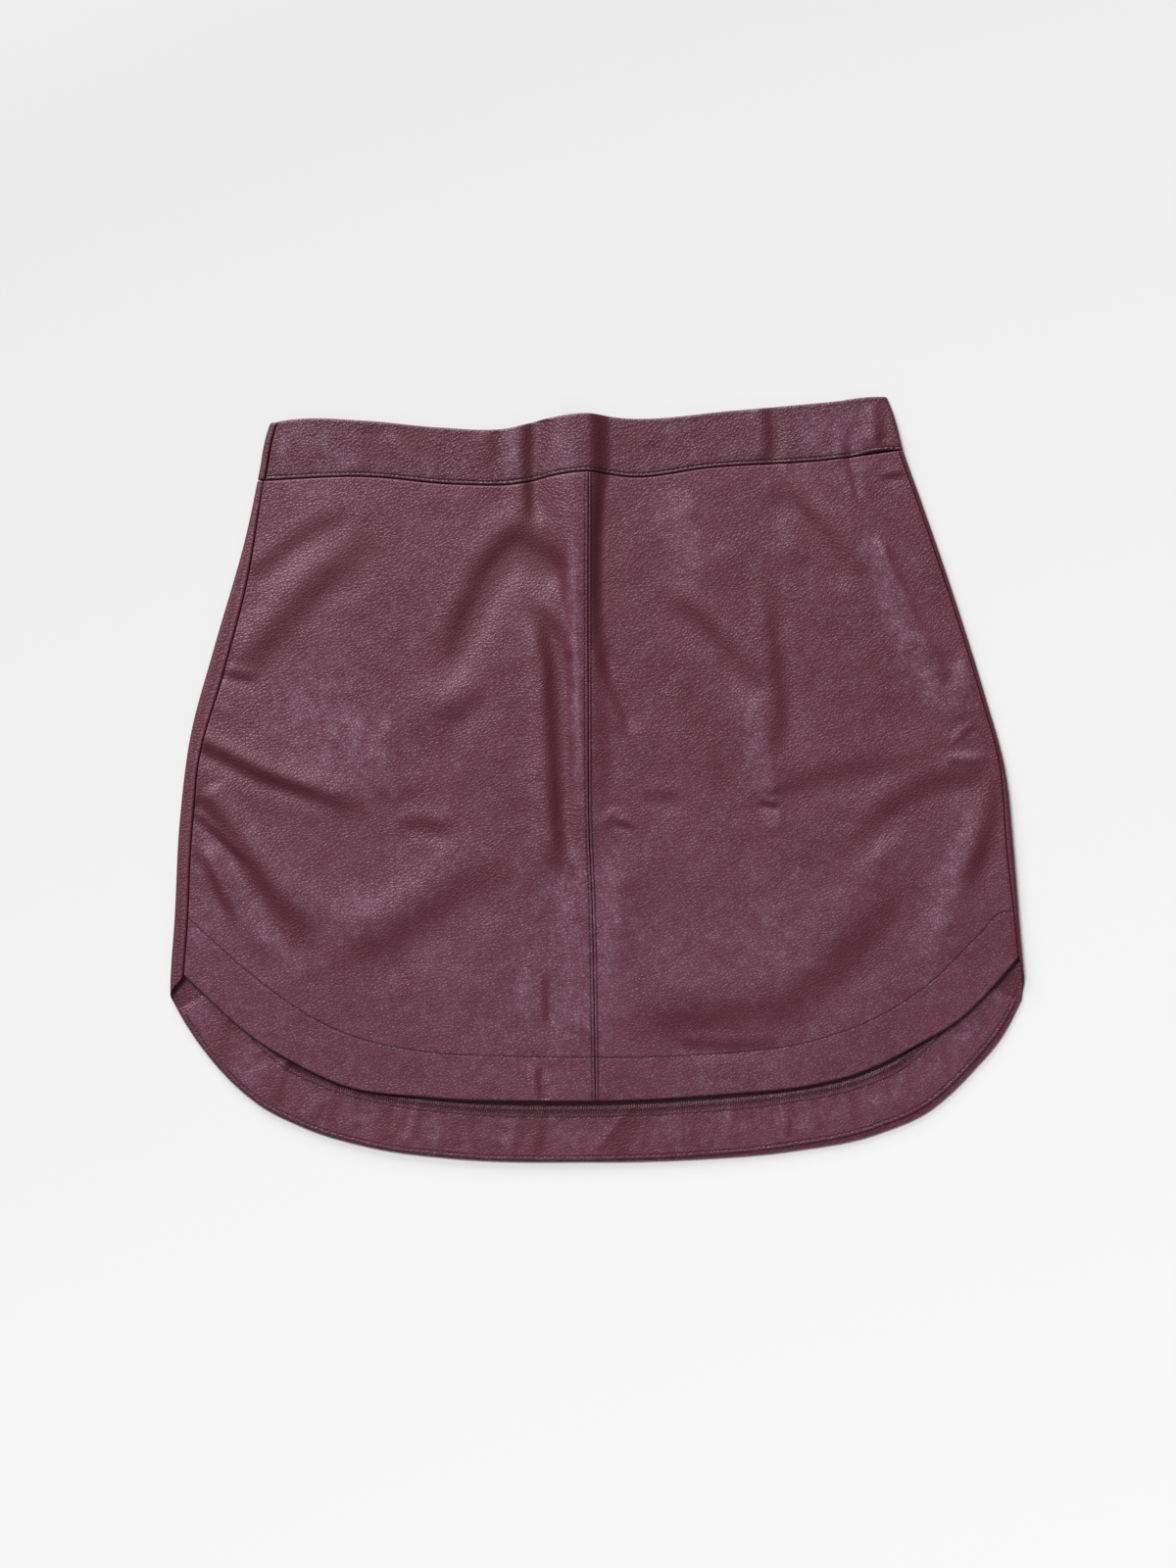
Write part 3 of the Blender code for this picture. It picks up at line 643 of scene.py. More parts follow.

# Painted crease shade and painted highlights on the facing.
FACING_PAINTED_MARKS = [
    ((26, -200, 20, -212, 12, -230), 6, -1.6), ((-225, -146, -228, -160, -234, -178), 4, -1.8),
    ((-38, -196, -37, -214, -37, -230), 4, -1.5), ((-127, -198, -129, -222), 4, -1.4),
    ((-196, -182, -200, -200), 4.5, -1.5), ((-160, -196, -164, -212), 3, -0.6),
    ((-84, -204, -86, -226), 3, -0.6), ((60, -204, 58, -226), 3, -0.5), ((125, -204, 126, -214), 4, 1),
    ((143, -206, 148, -204), 4, 0.9), ((170, -202, 172, -196), 4, 0.8), ((184, -194, 182, -184), 5, 0.9),
    ((202, -178, 212, -174), 4, 0.9), ((222, -160, 228, -152), 6, 0.9), ((244, -136, 246, -130), 4, 0.8),
    ((-104, -218, -96, -214), 6, 0.7), ((-20, -220, -16, -214), 6, 0.8), ((38, -212, 52, -214), 6, 0.8),
    ((-146, -204, -140, -210), 6, 0.7), ((-217, -180, -212, -186), 4, 0.8),
    ((-170, -206, -168, -212), 3, 1), ((-246, -142, -240, -150), 5, 0.9), ((-60, -212, -58, -224), 5, 0.5),
    ((86, -208, 84, -218), 5, 0.5),
]


def facing_lift(share, aside):
    """How far the facing stands off the back panel between its rows of stitches."""
    lift = np.zeros(np.shape(share))
    loose = np.clip((aside - EDGE_ROW) / 9.0, 0, 1) * np.clip((FACING_HEIGHT + 4 - aside) / 9.0, 0, 1)
    for place, lean, width, height in PUCKERS:
        away = (share - place) * FACING_LENGTH - lean * (aside - 15.0) / 15.0
        lift = lift + 0.9 * height * hump(away, 0.8 * width)
    ripple = soft_noise(share * FACING_LENGTH, aside * 0.5, 5.0, 5.0)
    lift = lift + 0.34 * np.abs(ripple) * (0.6 + soft_noise(share * FACING_LENGTH, aside * 0.2, 25.0, 9.0))
    return lift * (0.15 + 0.85 * ease(loose)) + 0.08 * hump(aside - 1.7, 0.9)


def hem_facing():
    across = np.linspace(0, FACING_LENGTH, 274)
    row_steps = np.array([-1.4, -0.7, -0.3, 0.0, 0.3, 0.7, 1.4])
    along = np.unique(np.round(np.concatenate([
        FACING_INSET + np.array([0.0, 0.2, 0.5, 0.9]), EDGE_ROW + row_steps, np.linspace(5.2, 24.8, 14),
        TOP_ROW + row_steps, np.linspace(29.4, FACING_HEIGHT, 4)]), 3)) - FACING_INSET

    def place(u, v, inner):
        aside = FACING_INSET + v * along[-1]
        x, y = facing_plan(u, aside)
        lift = facing_lift(u, aside)
        if not inner:
            return x, y, FACING_BASE + np.clip(lift, 0.0, 0.6)
        groove = 0.02 * (hump(aside - EDGE_ROW, 0.6) + hump(aside - TOP_ROW, 0.6))
        away = np.minimum(np.minimum(v, 1 - v) * along[-1], np.minimum(u, 1 - u) * across[-1])
        return x, y, FACING_BASE + FACING_THICK + lift - groove - rounded_edge(away, 0.6, 0.8)

    def along_and_aside(x, y):
        shares = np.linspace(0, 1, 1200)
        path_x, path_y = facing_plan(shares, 0.0)
        nearest = [np.argmin((path_x - px) ** 2 + (path_y - py) ** 2) for px, py in zip(x, y)]
        return shares[nearest], np.hypot(x - path_x[nearest], y - path_y[nearest])

    def rows(x, y):
        _, aside = along_and_aside(x, y)
        return (aside - EDGE_ROW) * (TOP_ROW - aside) / (TOP_ROW - EDGE_ROW)

    def painted_light(x, y):
        share, aside = along_and_aside(x, y)
        # Painted light on the facing: shading of each pucker painted from its slope, painted shade in the
        # open corners, a painted shadow of the front hem over the facing's top, painted shade along both
        # rows of stitches, and painted highlights broken up at random.
        painted_pucker_shading = facing_lift(share + 0.002, aside) - facing_lift(share - 0.002, aside)
        corner = np.exp(-(((x + 257) / 7) ** 2 + ((y + 129) / 7) ** 2))
        corner = corner + np.exp(-(((x - 252) / 6) ** 2 + ((y + 119) / 9) ** 2))
        hem_shadow_share = ease((aside - 27.5) / 3.0)
        painted_hem_shadow = 0.6 * hem_shadow_share * np.exp(-((x + 25) / 70) ** 4) + ease((aside - 29.5) / 2.0)
        edge = 0.8 * hump(aside - EDGE_ROW, 0.9) + 0.5 * hump(aside - TOP_ROW, 0.9)
        patchy = 0.6 + 0.9 * soft_noise(x, y, 6.0, 17.0) + 0.7 * soft_noise(x, y, 3.0, 37.0)
        marked = marks(x, y, FACING_PAINTED_MARKS)
        marked = np.where(marked > 0, marked * patchy, marked)
        return np.clip(0.5 * patchy + 1.2 * painted_pucker_shading + marked - painted_hem_shadow - edge - 1.4 * corner, -1, 1)

    return laid_cloth("back_hem_facing", across, along, place, facing_leather, rows, painted_light)


back_hem_facing = hem_facing()
is_part_of_skirt(back_hem_facing, "back_hem_facing")


# ---------------------------------------------------------------- front panels
# Two panels joined down the middle by a seam topstitched on both sides. They lie on the back, over the
# zip's ridge, and their hem is turned up and stitched. Worn leather keeps its creases and soft folds.

FIELD_RISE = 0.5
FIELD_REACH = 45.0
FRONT_RIDGE = 6.1
LOWEST_FRONT = 3.5
CENTRE_ROW = 1.9
HEM_LIFT = 1.3
HEM_LIFT_X = -30.0
HEM_LIFT_WIDTH = 60.0
HEM_LIFT_REACH = 50.0
SETTLING = 0.4
HEM_ALLOWANCE = 26.6
FRONT_PITCH = 1.9

centre_seam = smooth([(-197, -1.1), (-147, -1.7), (-76, -3.1), (-29, -5.0), (45, -5.5), (189, -5.5)])
front_hem = smooth([(-254, -118.5), (-240, -132), (-213, -156), (-184, -174), (-157, -186.5),
                    (-104, -194.2), (-30, -196.6), (23, -196.0), (80, -192.3), (130, -187.0),
                    (160, -179.4), (196, -162), (224, -144.5), (244, -124.3), (258, -108)])
hem_row = smooth([(-250, -84.6), (-209.7, -120.6), (-172.4, -146.5), (-159, -153), (-141.8, -159.2),
                  (-103.5, -166.5), (-55.7, -169), (-8, -169.8), (49.4, -169), (97, -165.6), (123, -162),
                  (143, -156.4), (168.8, -146.3), (205.5, -122.5), (233, -95), (247.8, -81),
                  (251.5, -80.6)])

# Each fold: kind, route, width (or widths at its start and end), height, and fades at both ends.
FRONT_FOLDS = [
    # Under the waistband and beside the ridge.
    ("step", (-41, 152, -42, 186, -42, 220), 5, 1.6, 0.3, 0.02),
    ("step", (-104, 188, -116, 202, -128, 216), 4, 0.4),
    ("step", (-62, 192, -64, 204, -66, 214), 4, 0.5, 0.3, 0.2),
    ("step", (-136, 188, -140, 200, -146, 214), 4, 0.35, 0.3, 0.2),
    ("ridge", (-176, 214, -160, 198, -140, 186), 6, 0.35),
    ("step", (104, 192, 105, 208, 103, 228), 4, 0.8, 0.2, 0.05),
    ("step", (172, 204, 173, 216, 170, 230), 4, 0.7, 0.2, 0.1),
    ("step", (150, 190, 152, 204, 150, 216), 3, 0.5, 0.2, 0.3),
    ("step", (159, 170, 155, 184, 152, 198), 2, 0.45, 0.3, 0.2),
    ("ridge", (164, 168, 163, 186, 160, 212), (5, 4), 0.3, 0.3, 0.2),
    ("step", (172, 184, 182, 186, 193, 187), 2.4, 0.4, 0.3, 0.1),
    ("step", (114, 196, 124, 178, 134, 160), 3, -0.45, 0.2, 0.3),
    ("step", (112, 186, 126, 166, 142, 149, 156, 130, 164, 114), 8, 1, 0.2, 0.25),
    # The hooked fold left of the ridge.
    ("ridge", (-97, 46, -86, 74, -75, 102, -63, 124, -51, 134, -36, 131, -16, 120), (10, 13), -1.6, 0.3,
      0.1),
    ("step", (-92, 66, -84, 92, -74, 114, -62, 136, -49, 149, -34, 139, -18, 123), 8, 0.8, 0.3, 0.15),
    ("step", (-19, -60, -23, -40, -26, 0, -28, 40, -31, 78, -40, 106), 6, 1.9, 0.15, 0.15),
    ("ridge", (-9, -12, -11, 20, -13, 60, -18, 86, -28, 103, -42, 116), (4.5, 5), 1.15, 0.2, 0.25),
    # Left side, from the waist down.
    ("step", (-220, 120, -202, 132, -184, 147, -164, 158, -142, 163), 6, 0.4, 0.2, 0.3),
    ("ridge", (-230, 66, -212, 87, -194, 105, -176, 122, -154, 138, -124, 156), (12, 13), 0.4, 0.1, 0.35),
    ("step", (-220, 62, -202, 82, -184, 104, -160, 128, -132, 150), 9, 0.55, 0.15, 0.35),
    ("step", (-232, 66, -218, 63, -205, 61), 3, 0.5, 0.1, 0.4),
    ("ridge", (-236, 46, -226, 42, -216, 42), 3.5, 0.3, 0.1, 0.5),
    ("ridge", (-122, 30, -100, 44, -76, 62), (14, 10), 0.6), ("step", (-98, 34, -84, 42, -66, 58), 7, 0.5),
    ("ridge", (-158, 46, -146, 20, -138, 0, -129, -16), (4, 8), 0.9, 0.3, 0.2),
    ("ridge", (-127, 46, -128, 22, -122, 2, -114, -14), (5, 7), 0.8, 0.3, 0.2),
    ("step", (-124, -24, -104, -27, -84, -32), 5, 0.5),
    ("ridge", (-246, 28, -226, 18, -206, 9, -184, 0, -160, -9, -134, -17), (42, 9), 1.4, 0.02, 0.3),
    ("step", (-246, 23, -226, 13, -206, 3, -184, -5, -158, -14, -136, -20), 4.5, 1.1, 0.02, 0.5),
    ("ridge", (-246, 3, -228, -20, -208, -48, -188, -70, -160, -84, -132, -84, -104, -68, -76, -48), (17,
      12), 0.95, 0.3, 0.25),
    ("step", (-244, -8, -228, -30, -212, -52, -196, -76, -182, -98), 7, 1.5, 0.06, 0.3),
    ("step", (-248, -20, -228, -38, -210, -56), 2.4, 0.7, 0.1, 0.4),
    ("ridge", (-244, -34, -230, -60, -218, -82, -204, -102, -188, -116), (8, 5), 1, 0.35, 0.3),
    ("step", (-243, -42, -233, -64, -224, -86), 3.5, 0.9, 0.2, 0.3),
    ("step", (-172, -124, -130, -102, -96, -76, -72, -60, -44, -54), 14, 0.6),
    # Beside the centre seam.
    ("ridge", (-10, -168, -12, -110, -14, -56), (13, 5), 0.9, 0.2, 0.2),
    ("ridge", (-43, -152, -42, -128, -42, -104), 4, 0.4),
    ("step", (-31, -152, -32, -134, -33, -116), 2.5, 0.5),
    ("step", (-34, -196, -36, -186, -37, -172), 2, 0.6, 0.02, 0.4),
    ("ridge", (12, -124, 13, -84, 12, -40), (7, 9), 0.6),
    ("step", (20, 26, 13, 44, 6, 62, 1, 84), 4, 1, 0.2, 0.2),
    ("ridge", (3, -30, 10, -20, 20, -28), 2.4, 0.7, 0.2, 0.2), ("step", (6, -26, 14, -27, 24, -31), 2, 0.5),
    ("step", (24, -8, 38, -10, 56, -13), 5, 0.4),
    # Right side.
    ("ridge", (72, 112, 66, 136, 54, 160, 48, 182), (18, 12), 1),
    ("ridge", (122, 128, 121, 146, 116, 166), (12, 9), 0.7),
    ("step", (34, 116, 50, 107, 70, 91, 88, 68, 98, 50), 7, 0.85),
    ("step", (78, -6, 70, 18, 58, 38, 46, 62), 6, 0.45),
    ("step", (113, 14, 112, 50, 108, 84, 103, 128), 5.5, 0.75, 0.2, 0.3),
    ("ridge", (108, -11, 103, 12, 100, 32, 95, 58), (9, 5), 1, 0.1, 0.3),
    ("step", (98, -13, 104, -15, 112, -16), 2, 0.7), ("ridge", (100, -30, 107, -28, 114, -30), 4, 0.4),
    ("ridge", (170, 154, 176, 136, 184, 116, 193, 96, 206, 72, 210, 44), (3.5, 7), 1.7, 0.15, 0.3),
    ("ridge", (214, 34, 222, 50, 226, 66, 226, 84), (7, 5), 0.8, 0.2, 0.3),
    ("ridge", (216, 20, 222, 28, 232, 36), (3, 2.5), 0.4, 0.2, 0.2),
    ("ridge", (212, 13, 224, 13, 238, 12), 2.4, 0.55, 0.15, 0.2),
    ("step", (104, -8, 130, 1, 160, 7, 188, 11, 210, 10), 8, 0.35, 0.2, 0.2),
    ("step", (152, -44, 166, -28, 180, -15, 198, -5, 218, 0, 240, 3), 8, 0.5, 0.3, 0.1),
    ("step", (226, -66, 234, -46, 241, -22, 240, 2), 5, 0.45, 0.3, 0.2),
    ("ridge", (188, -36, 172, -50, 158, -66), 8, 0.6),
    ("ridge", (203, -118, 212, -86, 220, -62, 228, -38, 233, -12), (11, 7), 0.9, 0.2, 0.2),
    ("step", (16, -157, 34, -149, 90, -146, 124, -134, 146, -112, 168, -86, 192, -56), 15, 0.85, 0.2, 0.25),
    ("step", (42, -160, 80, -163, 114, -161), 4, 0.4),
]


def front_face(x, y):
    """Height of the front's outer face: a low cushion with its folds, lifted a little at the middle of the
    hem, settled softly on what lies beneath, and raised by the zip's ridge."""
    inside = np.minimum(x - left_fold(y), right_fold(y) - x)
    above_hem = ease((y - front_hem(x)) / FIELD_REACH)
    loose = ease(inside / 11.0)
    height = FOLD_TOP + ease(inside / FIELD_REACH) * FIELD_RISE * above_hem
    height = height + loose * (folded(x, y, FRONT_FOLDS) + (0.3 + 0.7 * above_hem) * uneven(x, y, 2.0))
    near_hem = 1 - ease((y - front_hem(x)) / HEM_LIFT_REACH)
    height = height + HEM_LIFT * hump(x - HEM_LIFT_X, HEM_LIFT_WIDTH) * near_hem
    height = LOWEST_FRONT + np.logaddexp(0, (height - LOWEST_FRONT) / SETTLING) * SETTLING
    return height + FRONT_RIDGE * ridge(x, y)


# Painted highlights on the raised grain, and painted shade in the creases: route, half
# width and strength.
FRONT_PAINTED_MARKS = [
    ((-192, 62, -162, 32, -140, 0), 30, 0.7), ((-152, 32, -143, 0, -136, -12), 6, 0.5),
    ((-131, 40, -132, 15, -124, -12), 5, 0.5), ((-98, 50, -80, 70, -70, 98, -60, 115), 8, 0.3),
    ((-238, 0, -218, -30, -198, -55, -170, -74, -138, -76, -110, -62, -80, -42), 9, 0.35),
    ((-238, -32, -224, -56, -214, -78, -200, -98, -186, -112), 6, 0.45),
    ((-15, 150, -14, 100, -13, 50, -11, -10), 3.5, 1.5), ((-12, -50, -12, -160), 18, 0.75),
    ((6, -48, 8, -130), 8, 0.45), ((44, 176, 52, 150, 62, 128), 11, 0.7), ((108, 160, 112, 138), 9, 0.25),
    ((-45, -112, -45, -146), 5, 0.3),
    ((163, 150, 168, 135, 176, 118, 183, 98, 192, 80, 204, 60, 214, 44), 8, 1.1),
    ((172, 142, 182, 122, 190, 102), 2.5, 0.5), ((220, 74, 226, 54, 231, 42), 7, 0.8),
    ((91, 52, 95, 30, 98, 12, 104, -8), 7, 0.9), ((107, -22, 107, -28), 4, 0.5),
    ((225, -12, 219, -42, 212, -68, 206, -88, 199, -112), 7, 0.8), ((186, -30, 164, -52), 8, 0.3),
    ((104, -72, 108, -118), 22, 0.3), ((-190, 176, -150, 184), 14, 0.25),
    ((-226, 78, -210, 100, -190, 118, -168, 136), 6, 0.3), ((122, 208, 160, 214), 11, 0.9),
    ((150, 220, 172, 226), 6, 0.5), ((164, 188, 164, 216), 5, 0.6), ((217, 15, 236, 15), 2.5, 0.8),
    ((-194, 192, -190, 214), 5, 0.7), ((-174, 189, -146, 195), 7, 0.9), ((-186, 208, -164, 206), 4, 0.7),
    ((-53, 188, -52, 214), 6, 0.9), ((-34, 192, -12, 196), 5, 0.7), ((-26, 212, -20, 204), 5, 0.6),
    ((-118, 189, -100, 187), 5, 0.7), ((40, 212, 58, 213), 6, 0.7), ((24, 192, 34, 190), 6, 0.6),
    ((78, 200, 92, 204), 8, 0.4), ((-96, 196, -112, 216), 5, -0.8), ((-84, 204, -60, 208), 9, -0.4),
    ((12, 206, 34, 214), 9, -0.5), ((60, 204, 80, 218), 9, -0.4), ((222, 34, 214, 22), 2, 0.6),
    ((230, 30, 221, 20), 1.8, 0.5), ((-242, -100, -244, -84), 5, 0.4),
    ((-43, 222, -42, 186, -41, 150), 5, -1.4), ((-246, -1, -236, -18, -224, -36), 5, -1),
    ((-32, -116, -31, -150), 3, -0.7), ((-46, -118, -46, -145), 6, 0.5), ((-36, -176, -36, -195), 2, -0.8),
    ((-28, -178, -27, -192), 4, 0.5), ((2, 80, 8, 56, 15, 38), 3.5, -0.6),
    ((-90, 68, -84, 90, -75, 112, -62, 134, -50, 147, -38, 138, -18, 123), 9.5, -1.15),
    ((-38, 106, -30, 80, -27, 40, -25, 0, -24, -38, -21, -56), 5.5, -1.3),
    ((-242, 22, -225, 12, -205, 3, -185, -5, -160, -14, -142, -20), 5, -1.2),
    ((-246, 24, -236, 18, -222, 12, -206, 4), 5.5, -1),
    ((-244, -4, -230, -24, -215, -48, -200, -66, -188, -86, -180, -102), 7.5, -1.1),
    ((-247, -20, -226, -40, -212, -54), 2.5, -0.9), ((-243, -42, -231, -68, -223, -88), 3.5, -1),
    ((-230, 65, -206, 61), 2.5, -1.1), ((-212, 126, -200, 136, -184, 148, -160, 160), 6, -0.8),
    ((-219, 64, -204, 78, -192, 94, -174, 116, -156, 134, -130, 150), 9, -1.2),
    ((-120, -28, -86, -32), 5, -0.5), ((1, 226, 1, 180, -2, 140, -2, 100, -3, 62), 4, -1),
    ((8, 176, 9, 120, 6, 84), 4, -0.5), ((-172, -116, -130, -100, -96, -78, -74, -60, -48, -56), 10, -0.35),
    ((106, 228, 106, 190), 5, -0.8), ((177, 202, 174, 228), 4, -0.6),
    ((118, 190, 123, 178, 133, 160), 2.5, -0.5), ((128, 160, 145, 145, 160, 120), 9, -0.45),
    ((45, 112, 56, 104, 70, 92, 80, 78, 90, 64), 5, -0.5), ((48, 60, 60, 36, 78, 0), 5, -0.3),
    ((102, 126, 105, 100, 109, 70, 112, 40, 111, 16), 5, -0.5),
    ((108, -8, 130, 1, 160, 7, 190, 11, 208, 9), 3.5, -0.45),
    ((152, -42, 170, -26, 182, -14, 198, -5, 215, 0, 238, 2), 4.5, -0.55),
    ((242, 0, 242, -22, 235, -46, 227, -62), 5, -0.7), ((176, 184, 190, 187), 2, -0.8),
    ((188, -62, 168, -92, 148, -114, 126, -132, 90, -144, 40, -148, 14, -154), 13, -0.4),
    ((100, -13, 110, -15), 2.2, -0.8), ((4, -27, 10, -21, 20, -29), 1.8, -0.6),
    ((-115, -110, -118, -138), 8, -0.3), ((46, -162, 114, -161), 3, -0.3),
    ((168, 158, 176, 140, 185, 114), 2.5, -0.5), ((-104, 188, -120, 212), 5, -0.7),
    ((-130, 190, -142, 212), 5, -0.7), ((-64, 190, -66, 212), 6, -0.7), ((-196, 192, -200, 214), 3, -0.8),
    ((-112, -4, -111, -18), 4, -0.3),
]


def front_light_and_shade(x, y):
    """The front's painted highlights and painted crease shade, broken up so that no patch has an even
    edge, with painted light growing towards the hem and painted shade in the waist and side seams.
    """
    painted_light = marks(x, y, FRONT_PAINTED_MARKS)
    patchy = 0.7 + 0.7 * soft_noise(x, y, 9.0, 11.0) + 0.8 * soft_noise(x, y, 3.6, 31.0)
    # Painted light that grows towards the hem, painted shade in the waist seam, and painted shade along the
    # side seams below the waistband.
    low = 0.32 * ease((40 - y) / 160.0) - 0.06
    seam = 1.1 * hump(y - band_seam(x), 1.0)
    edge = np.minimum(x - left_fold(y), right_fold(y) - x)
    side = 0.55 * hump(edge - 4.6, 1.2) * (y < band_seam(x))
    return np.clip(np.where(painted_light > 0, painted_light * patchy, painted_light) + 0.24 * patchy ** 2 + low - seam - side, -1, 1)


def front_panel(name, left_x, right_x, side_rows, foot, head):
    """A front panel between two edges given as x from y. side_rows gives the y of the hem, the hem's row
    of stitches and the waist seam on each edge; foot and head give the hem and waist seam as y from x."""
    low, mid, high = [tuple(float(curve(float(edge_x(y)))) for edge_x, y in zip((left_x, right_x), rows))
                      for curve, rows in zip((foot, hem_row, head), side_rows)]
    width = float(right_x(0.0)) - float(left_x(0.0))
    across = spaced(width, FRONT_PITCH)
    upper = spaced(high[0] - mid[0], FRONT_PITCH)
    row_steps = np.array([0.3, 0.7, 1.3])
    lower = spaced(HEM_ALLOWANCE, FRONT_PITCH)
    lower = np.concatenate([lower[lower < HEM_ALLOWANCE - 2.0], HEM_ALLOWANCE - row_steps[::-1]])
    along = np.concatenate([lower, HEM_ALLOWANCE + np.concatenate([[0.0], row_steps, upper[upper > 2.0]])])
    row_share = HEM_ALLOWANCE / along[-1]

    def edge(side, rows):
        return lambda v: (side(between(rows[0], rows[1], v)), between(rows[0], rows[1], v))

    def level(ys, curve):
        ends = (float(left_x(ys[0])), float(right_x(ys[1])))
        return lambda u: (between(ends[0], ends[1], u), curve(between(ends[0], ends[1], u)))

    def place(u, v, inner):
        down = patch(level(low, foot), level(mid, hem_row), edge(left_x, (low[0], mid[0])),
                     edge(right_x, (low[1], mid[1])), u, np.clip(v / row_share, 0, 1))
        up = patch(level(mid, hem_row), level(high, head), edge(left_x, (mid[0], high[0])),
                   edge(right_x, (mid[1], high[1])), u, np.clip((v - row_share) / (1 - row_share), 0, 1))
        below = v <= row_share
        x, y = np.where(below, down[0], up[0]), np.where(below, down[1], up[1])
        z = front_face(x, y)
        from_hem = v * along[-1]
        from_side = np.minimum(u, 1 - u) * across[-1]
        turned = ease((HEM_ALLOWANCE + 0.3 - from_hem) / 0.8)
        if inner:
            return x, y, z - LEATHER_THICK * (1 + turned) + rounded_edge(from_hem, 0.8, 1.2)
        from_centre = np.abs(x - centre_seam(y))
        puff = 0.16 * hump(from_centre - 1.0, 0.6)
        sunk = 0.08 * hump(from_centre - CENTRE_ROW, 0.4) + 0.04 * hump(from_hem - HEM_ALLOWANCE, 0.6)
        drop = np.maximum(rounded_edge(from_hem, 0.9, 1.3), rounded_edge(from_side, 0.4, 0.6))
        drop = np.maximum(drop, rounded_edge((1 - v) * along[-1], 0.9, 1.1))
        return x, y, z + puff - sunk - drop

    def rows(x, y):
        to_hem = (y - hem_row(x)) / np.hypot(1, (hem_row(x + 1) - hem_row(x - 1)) / 2)
        to_centre = np.abs(x - centre_seam(y)) - CENTRE_ROW
        return to_hem * to_centre / (np.abs(to_hem) + np.abs(to_centre) + 1e-6)

    return laid_cloth(name, across, along, place, skirt_leather, rows, front_light_and_shade)


front_panel_left = front_panel(
    "front_panel_left", lambda y: left_seam(y) + HALF_GAP, lambda y: centre_seam(y) - HALF_GAP,
    ((-119.5, -196.3), (-84.6, -169.8), (184.0, 186.0)), front_hem, lower_seam)
front_panel_right = front_panel(
    "front_panel_right", lambda y: centre_seam(y) + HALF_GAP,
    lambda y: right_fold(y) - right_strip(y) - HALF_GAP,
    ((-196.3, -108.0), (-169.8, -80.6), (186.0, 201.0)), front_hem, lower_seam)
is_part_of_skirt(front_panel_left, "front_panel_left")
is_part_of_skirt(front_panel_right, "front_panel_right")


# ---------------------------------------------------------------- front waistband
# One length of doubled leather, folded over at the waist and topstitched 2 mm above the seam below it.
# It starts at a seam beside the left fold and runs round the right fold to the seam beneath.

BAND_RISE = 0.35
BAND_ROW = 2.0


def band_face(x, y):
    """Height of the front waistband's outer face, a little proud of the panels."""
    return front_face(x, y) + BAND_RISE


def front_band():
    left_low, left_high = band_left_ends
    right_low, right_high = band_right_ends
    level_end = float(right_fold(right_low)) - FOLD_RADIUS
    level = level_end - float(left_fold(left_low)) - BAND_STRIP_LEFT
    bend = math.pi * FOLD_RADIUS
    under = BAND_STRIP_RIGHT - HALF_GAP - FOLD_RADIUS
    across = spaced(level, FRONT_PITCH)
    across = np.concatenate([across[across < level - 2.0], [level], level + np.linspace(0, bend, 11)[1:],
                             level + bend + np.linspace(0, under, 4)[1:]])
    row_steps = np.array([0.3, 0.6, 1.0])
    along = spaced(BAND_HEIGHT, FRONT_PITCH)
    along = np.concatenate([[0.0, 0.2, 0.5, 0.8], BAND_ROW - row_steps[1::-1] * 0.9, [BAND_ROW],
                            BAND_ROW + row_steps, along[along > 4.1]])
    level_share, bend_share = level / across[-1], (level + bend) / across[-1]

    def place(u, v, inner):
        share = np.clip(u / level_share, 0, 1)
        left_y, right_y = between(left_low, left_high, v), between(right_low, right_high, v)
        left_x = left_fold(left_y) + BAND_STRIP_LEFT + HALF_GAP
        right_x = right_fold(right_y) - FOLD_RADIUS
        x = between(left_x, right_x, share)
        y = between(upper_seam(x), waist_edge(x), v)
        y = between(y, right_y, ease(12 * share - 11))
        from_seam, from_waist = v * along[-1], (1 - v) * along[-1]
        drop = rounded_edge(from_seam, 0.9, 1.2)
        waist = rounded_edge(from_waist, 0.75, 1.4)
        end = rounded_edge(u * across[-1], 0.8, 1.0)
        proud = BAND_RISE * ease((1 - share) * level / 12.0)
        z = front_face(x, y) + proud
        sunk = 0.25 * hump(from_seam - BAND_ROW, 0.45)
        turn = np.clip((u - level_share) / (bend_share - level_share), 0, 1)
        out = np.clip((u - bend_share) / (1 - bend_share), 0, 1)
        radius = FOLD_RADIUS - (BAND_THICK if inner else np.maximum(drop, waist))
        if inner:
            z = z - BAND_THICK + waist
        else:
            z = z - np.maximum(np.maximum(drop, waist), end) - sunk
        angle = math.pi * (0.5 - turn)
        round_x = right_fold(right_y) - (FOLD_RADIUS - radius * np.cos(angle)) - out * under
        round_z = FOLD_RADIUS + radius * np.sin(angle)
        flat = u <= level_share + 1e-9
        return np.where(flat, x, round_x), np.where(flat, y, right_y), np.where(flat, z, round_z)

    def rows(x, y):
        return y - band_seam(x) - HALF_GAP - BAND_ROW

    return laid_cloth("waistband_front", across, along, place, band_leather, rows, front_light_and_shade)


waistband_front = front_band()
is_part_of_skirt(waistband_front, "waistband_front")


# ---------------------------------------------------------------- thread
# Matching polyester thread in lockstitch, three millimetres a stitch. Each stitch lies on the leather and
# dives into a needle hole at both ends; an overlocker has wrapped the facing's raw top edge in loops.

STITCH = 3.0
STITCH_SHOWN = 2.3
THREAD = 0.38


def thread_material():
    made, tree, shader = new_material("thread")
    twist = texture(tree, "Wave", object_place(tree), Scale=1500.0, Distortion=1.5)
    twist.bands_direction = "DIAGONAL"
    colour = mixed(tree, twist.outputs["Fac"], (0.018, 0.003, 0.006), (0.050, 0.008, 0.016))
    feed(tree, shader.inputs["Base Color"], colour)
    bumped(tree, shader, twist.outputs["Fac"], 0.05)
    shader.inputs["Roughness"].default_value = 0.7
    shader.inputs["Specular IOR Level"].default_value = 0.2
    return made


thread = thread_material()


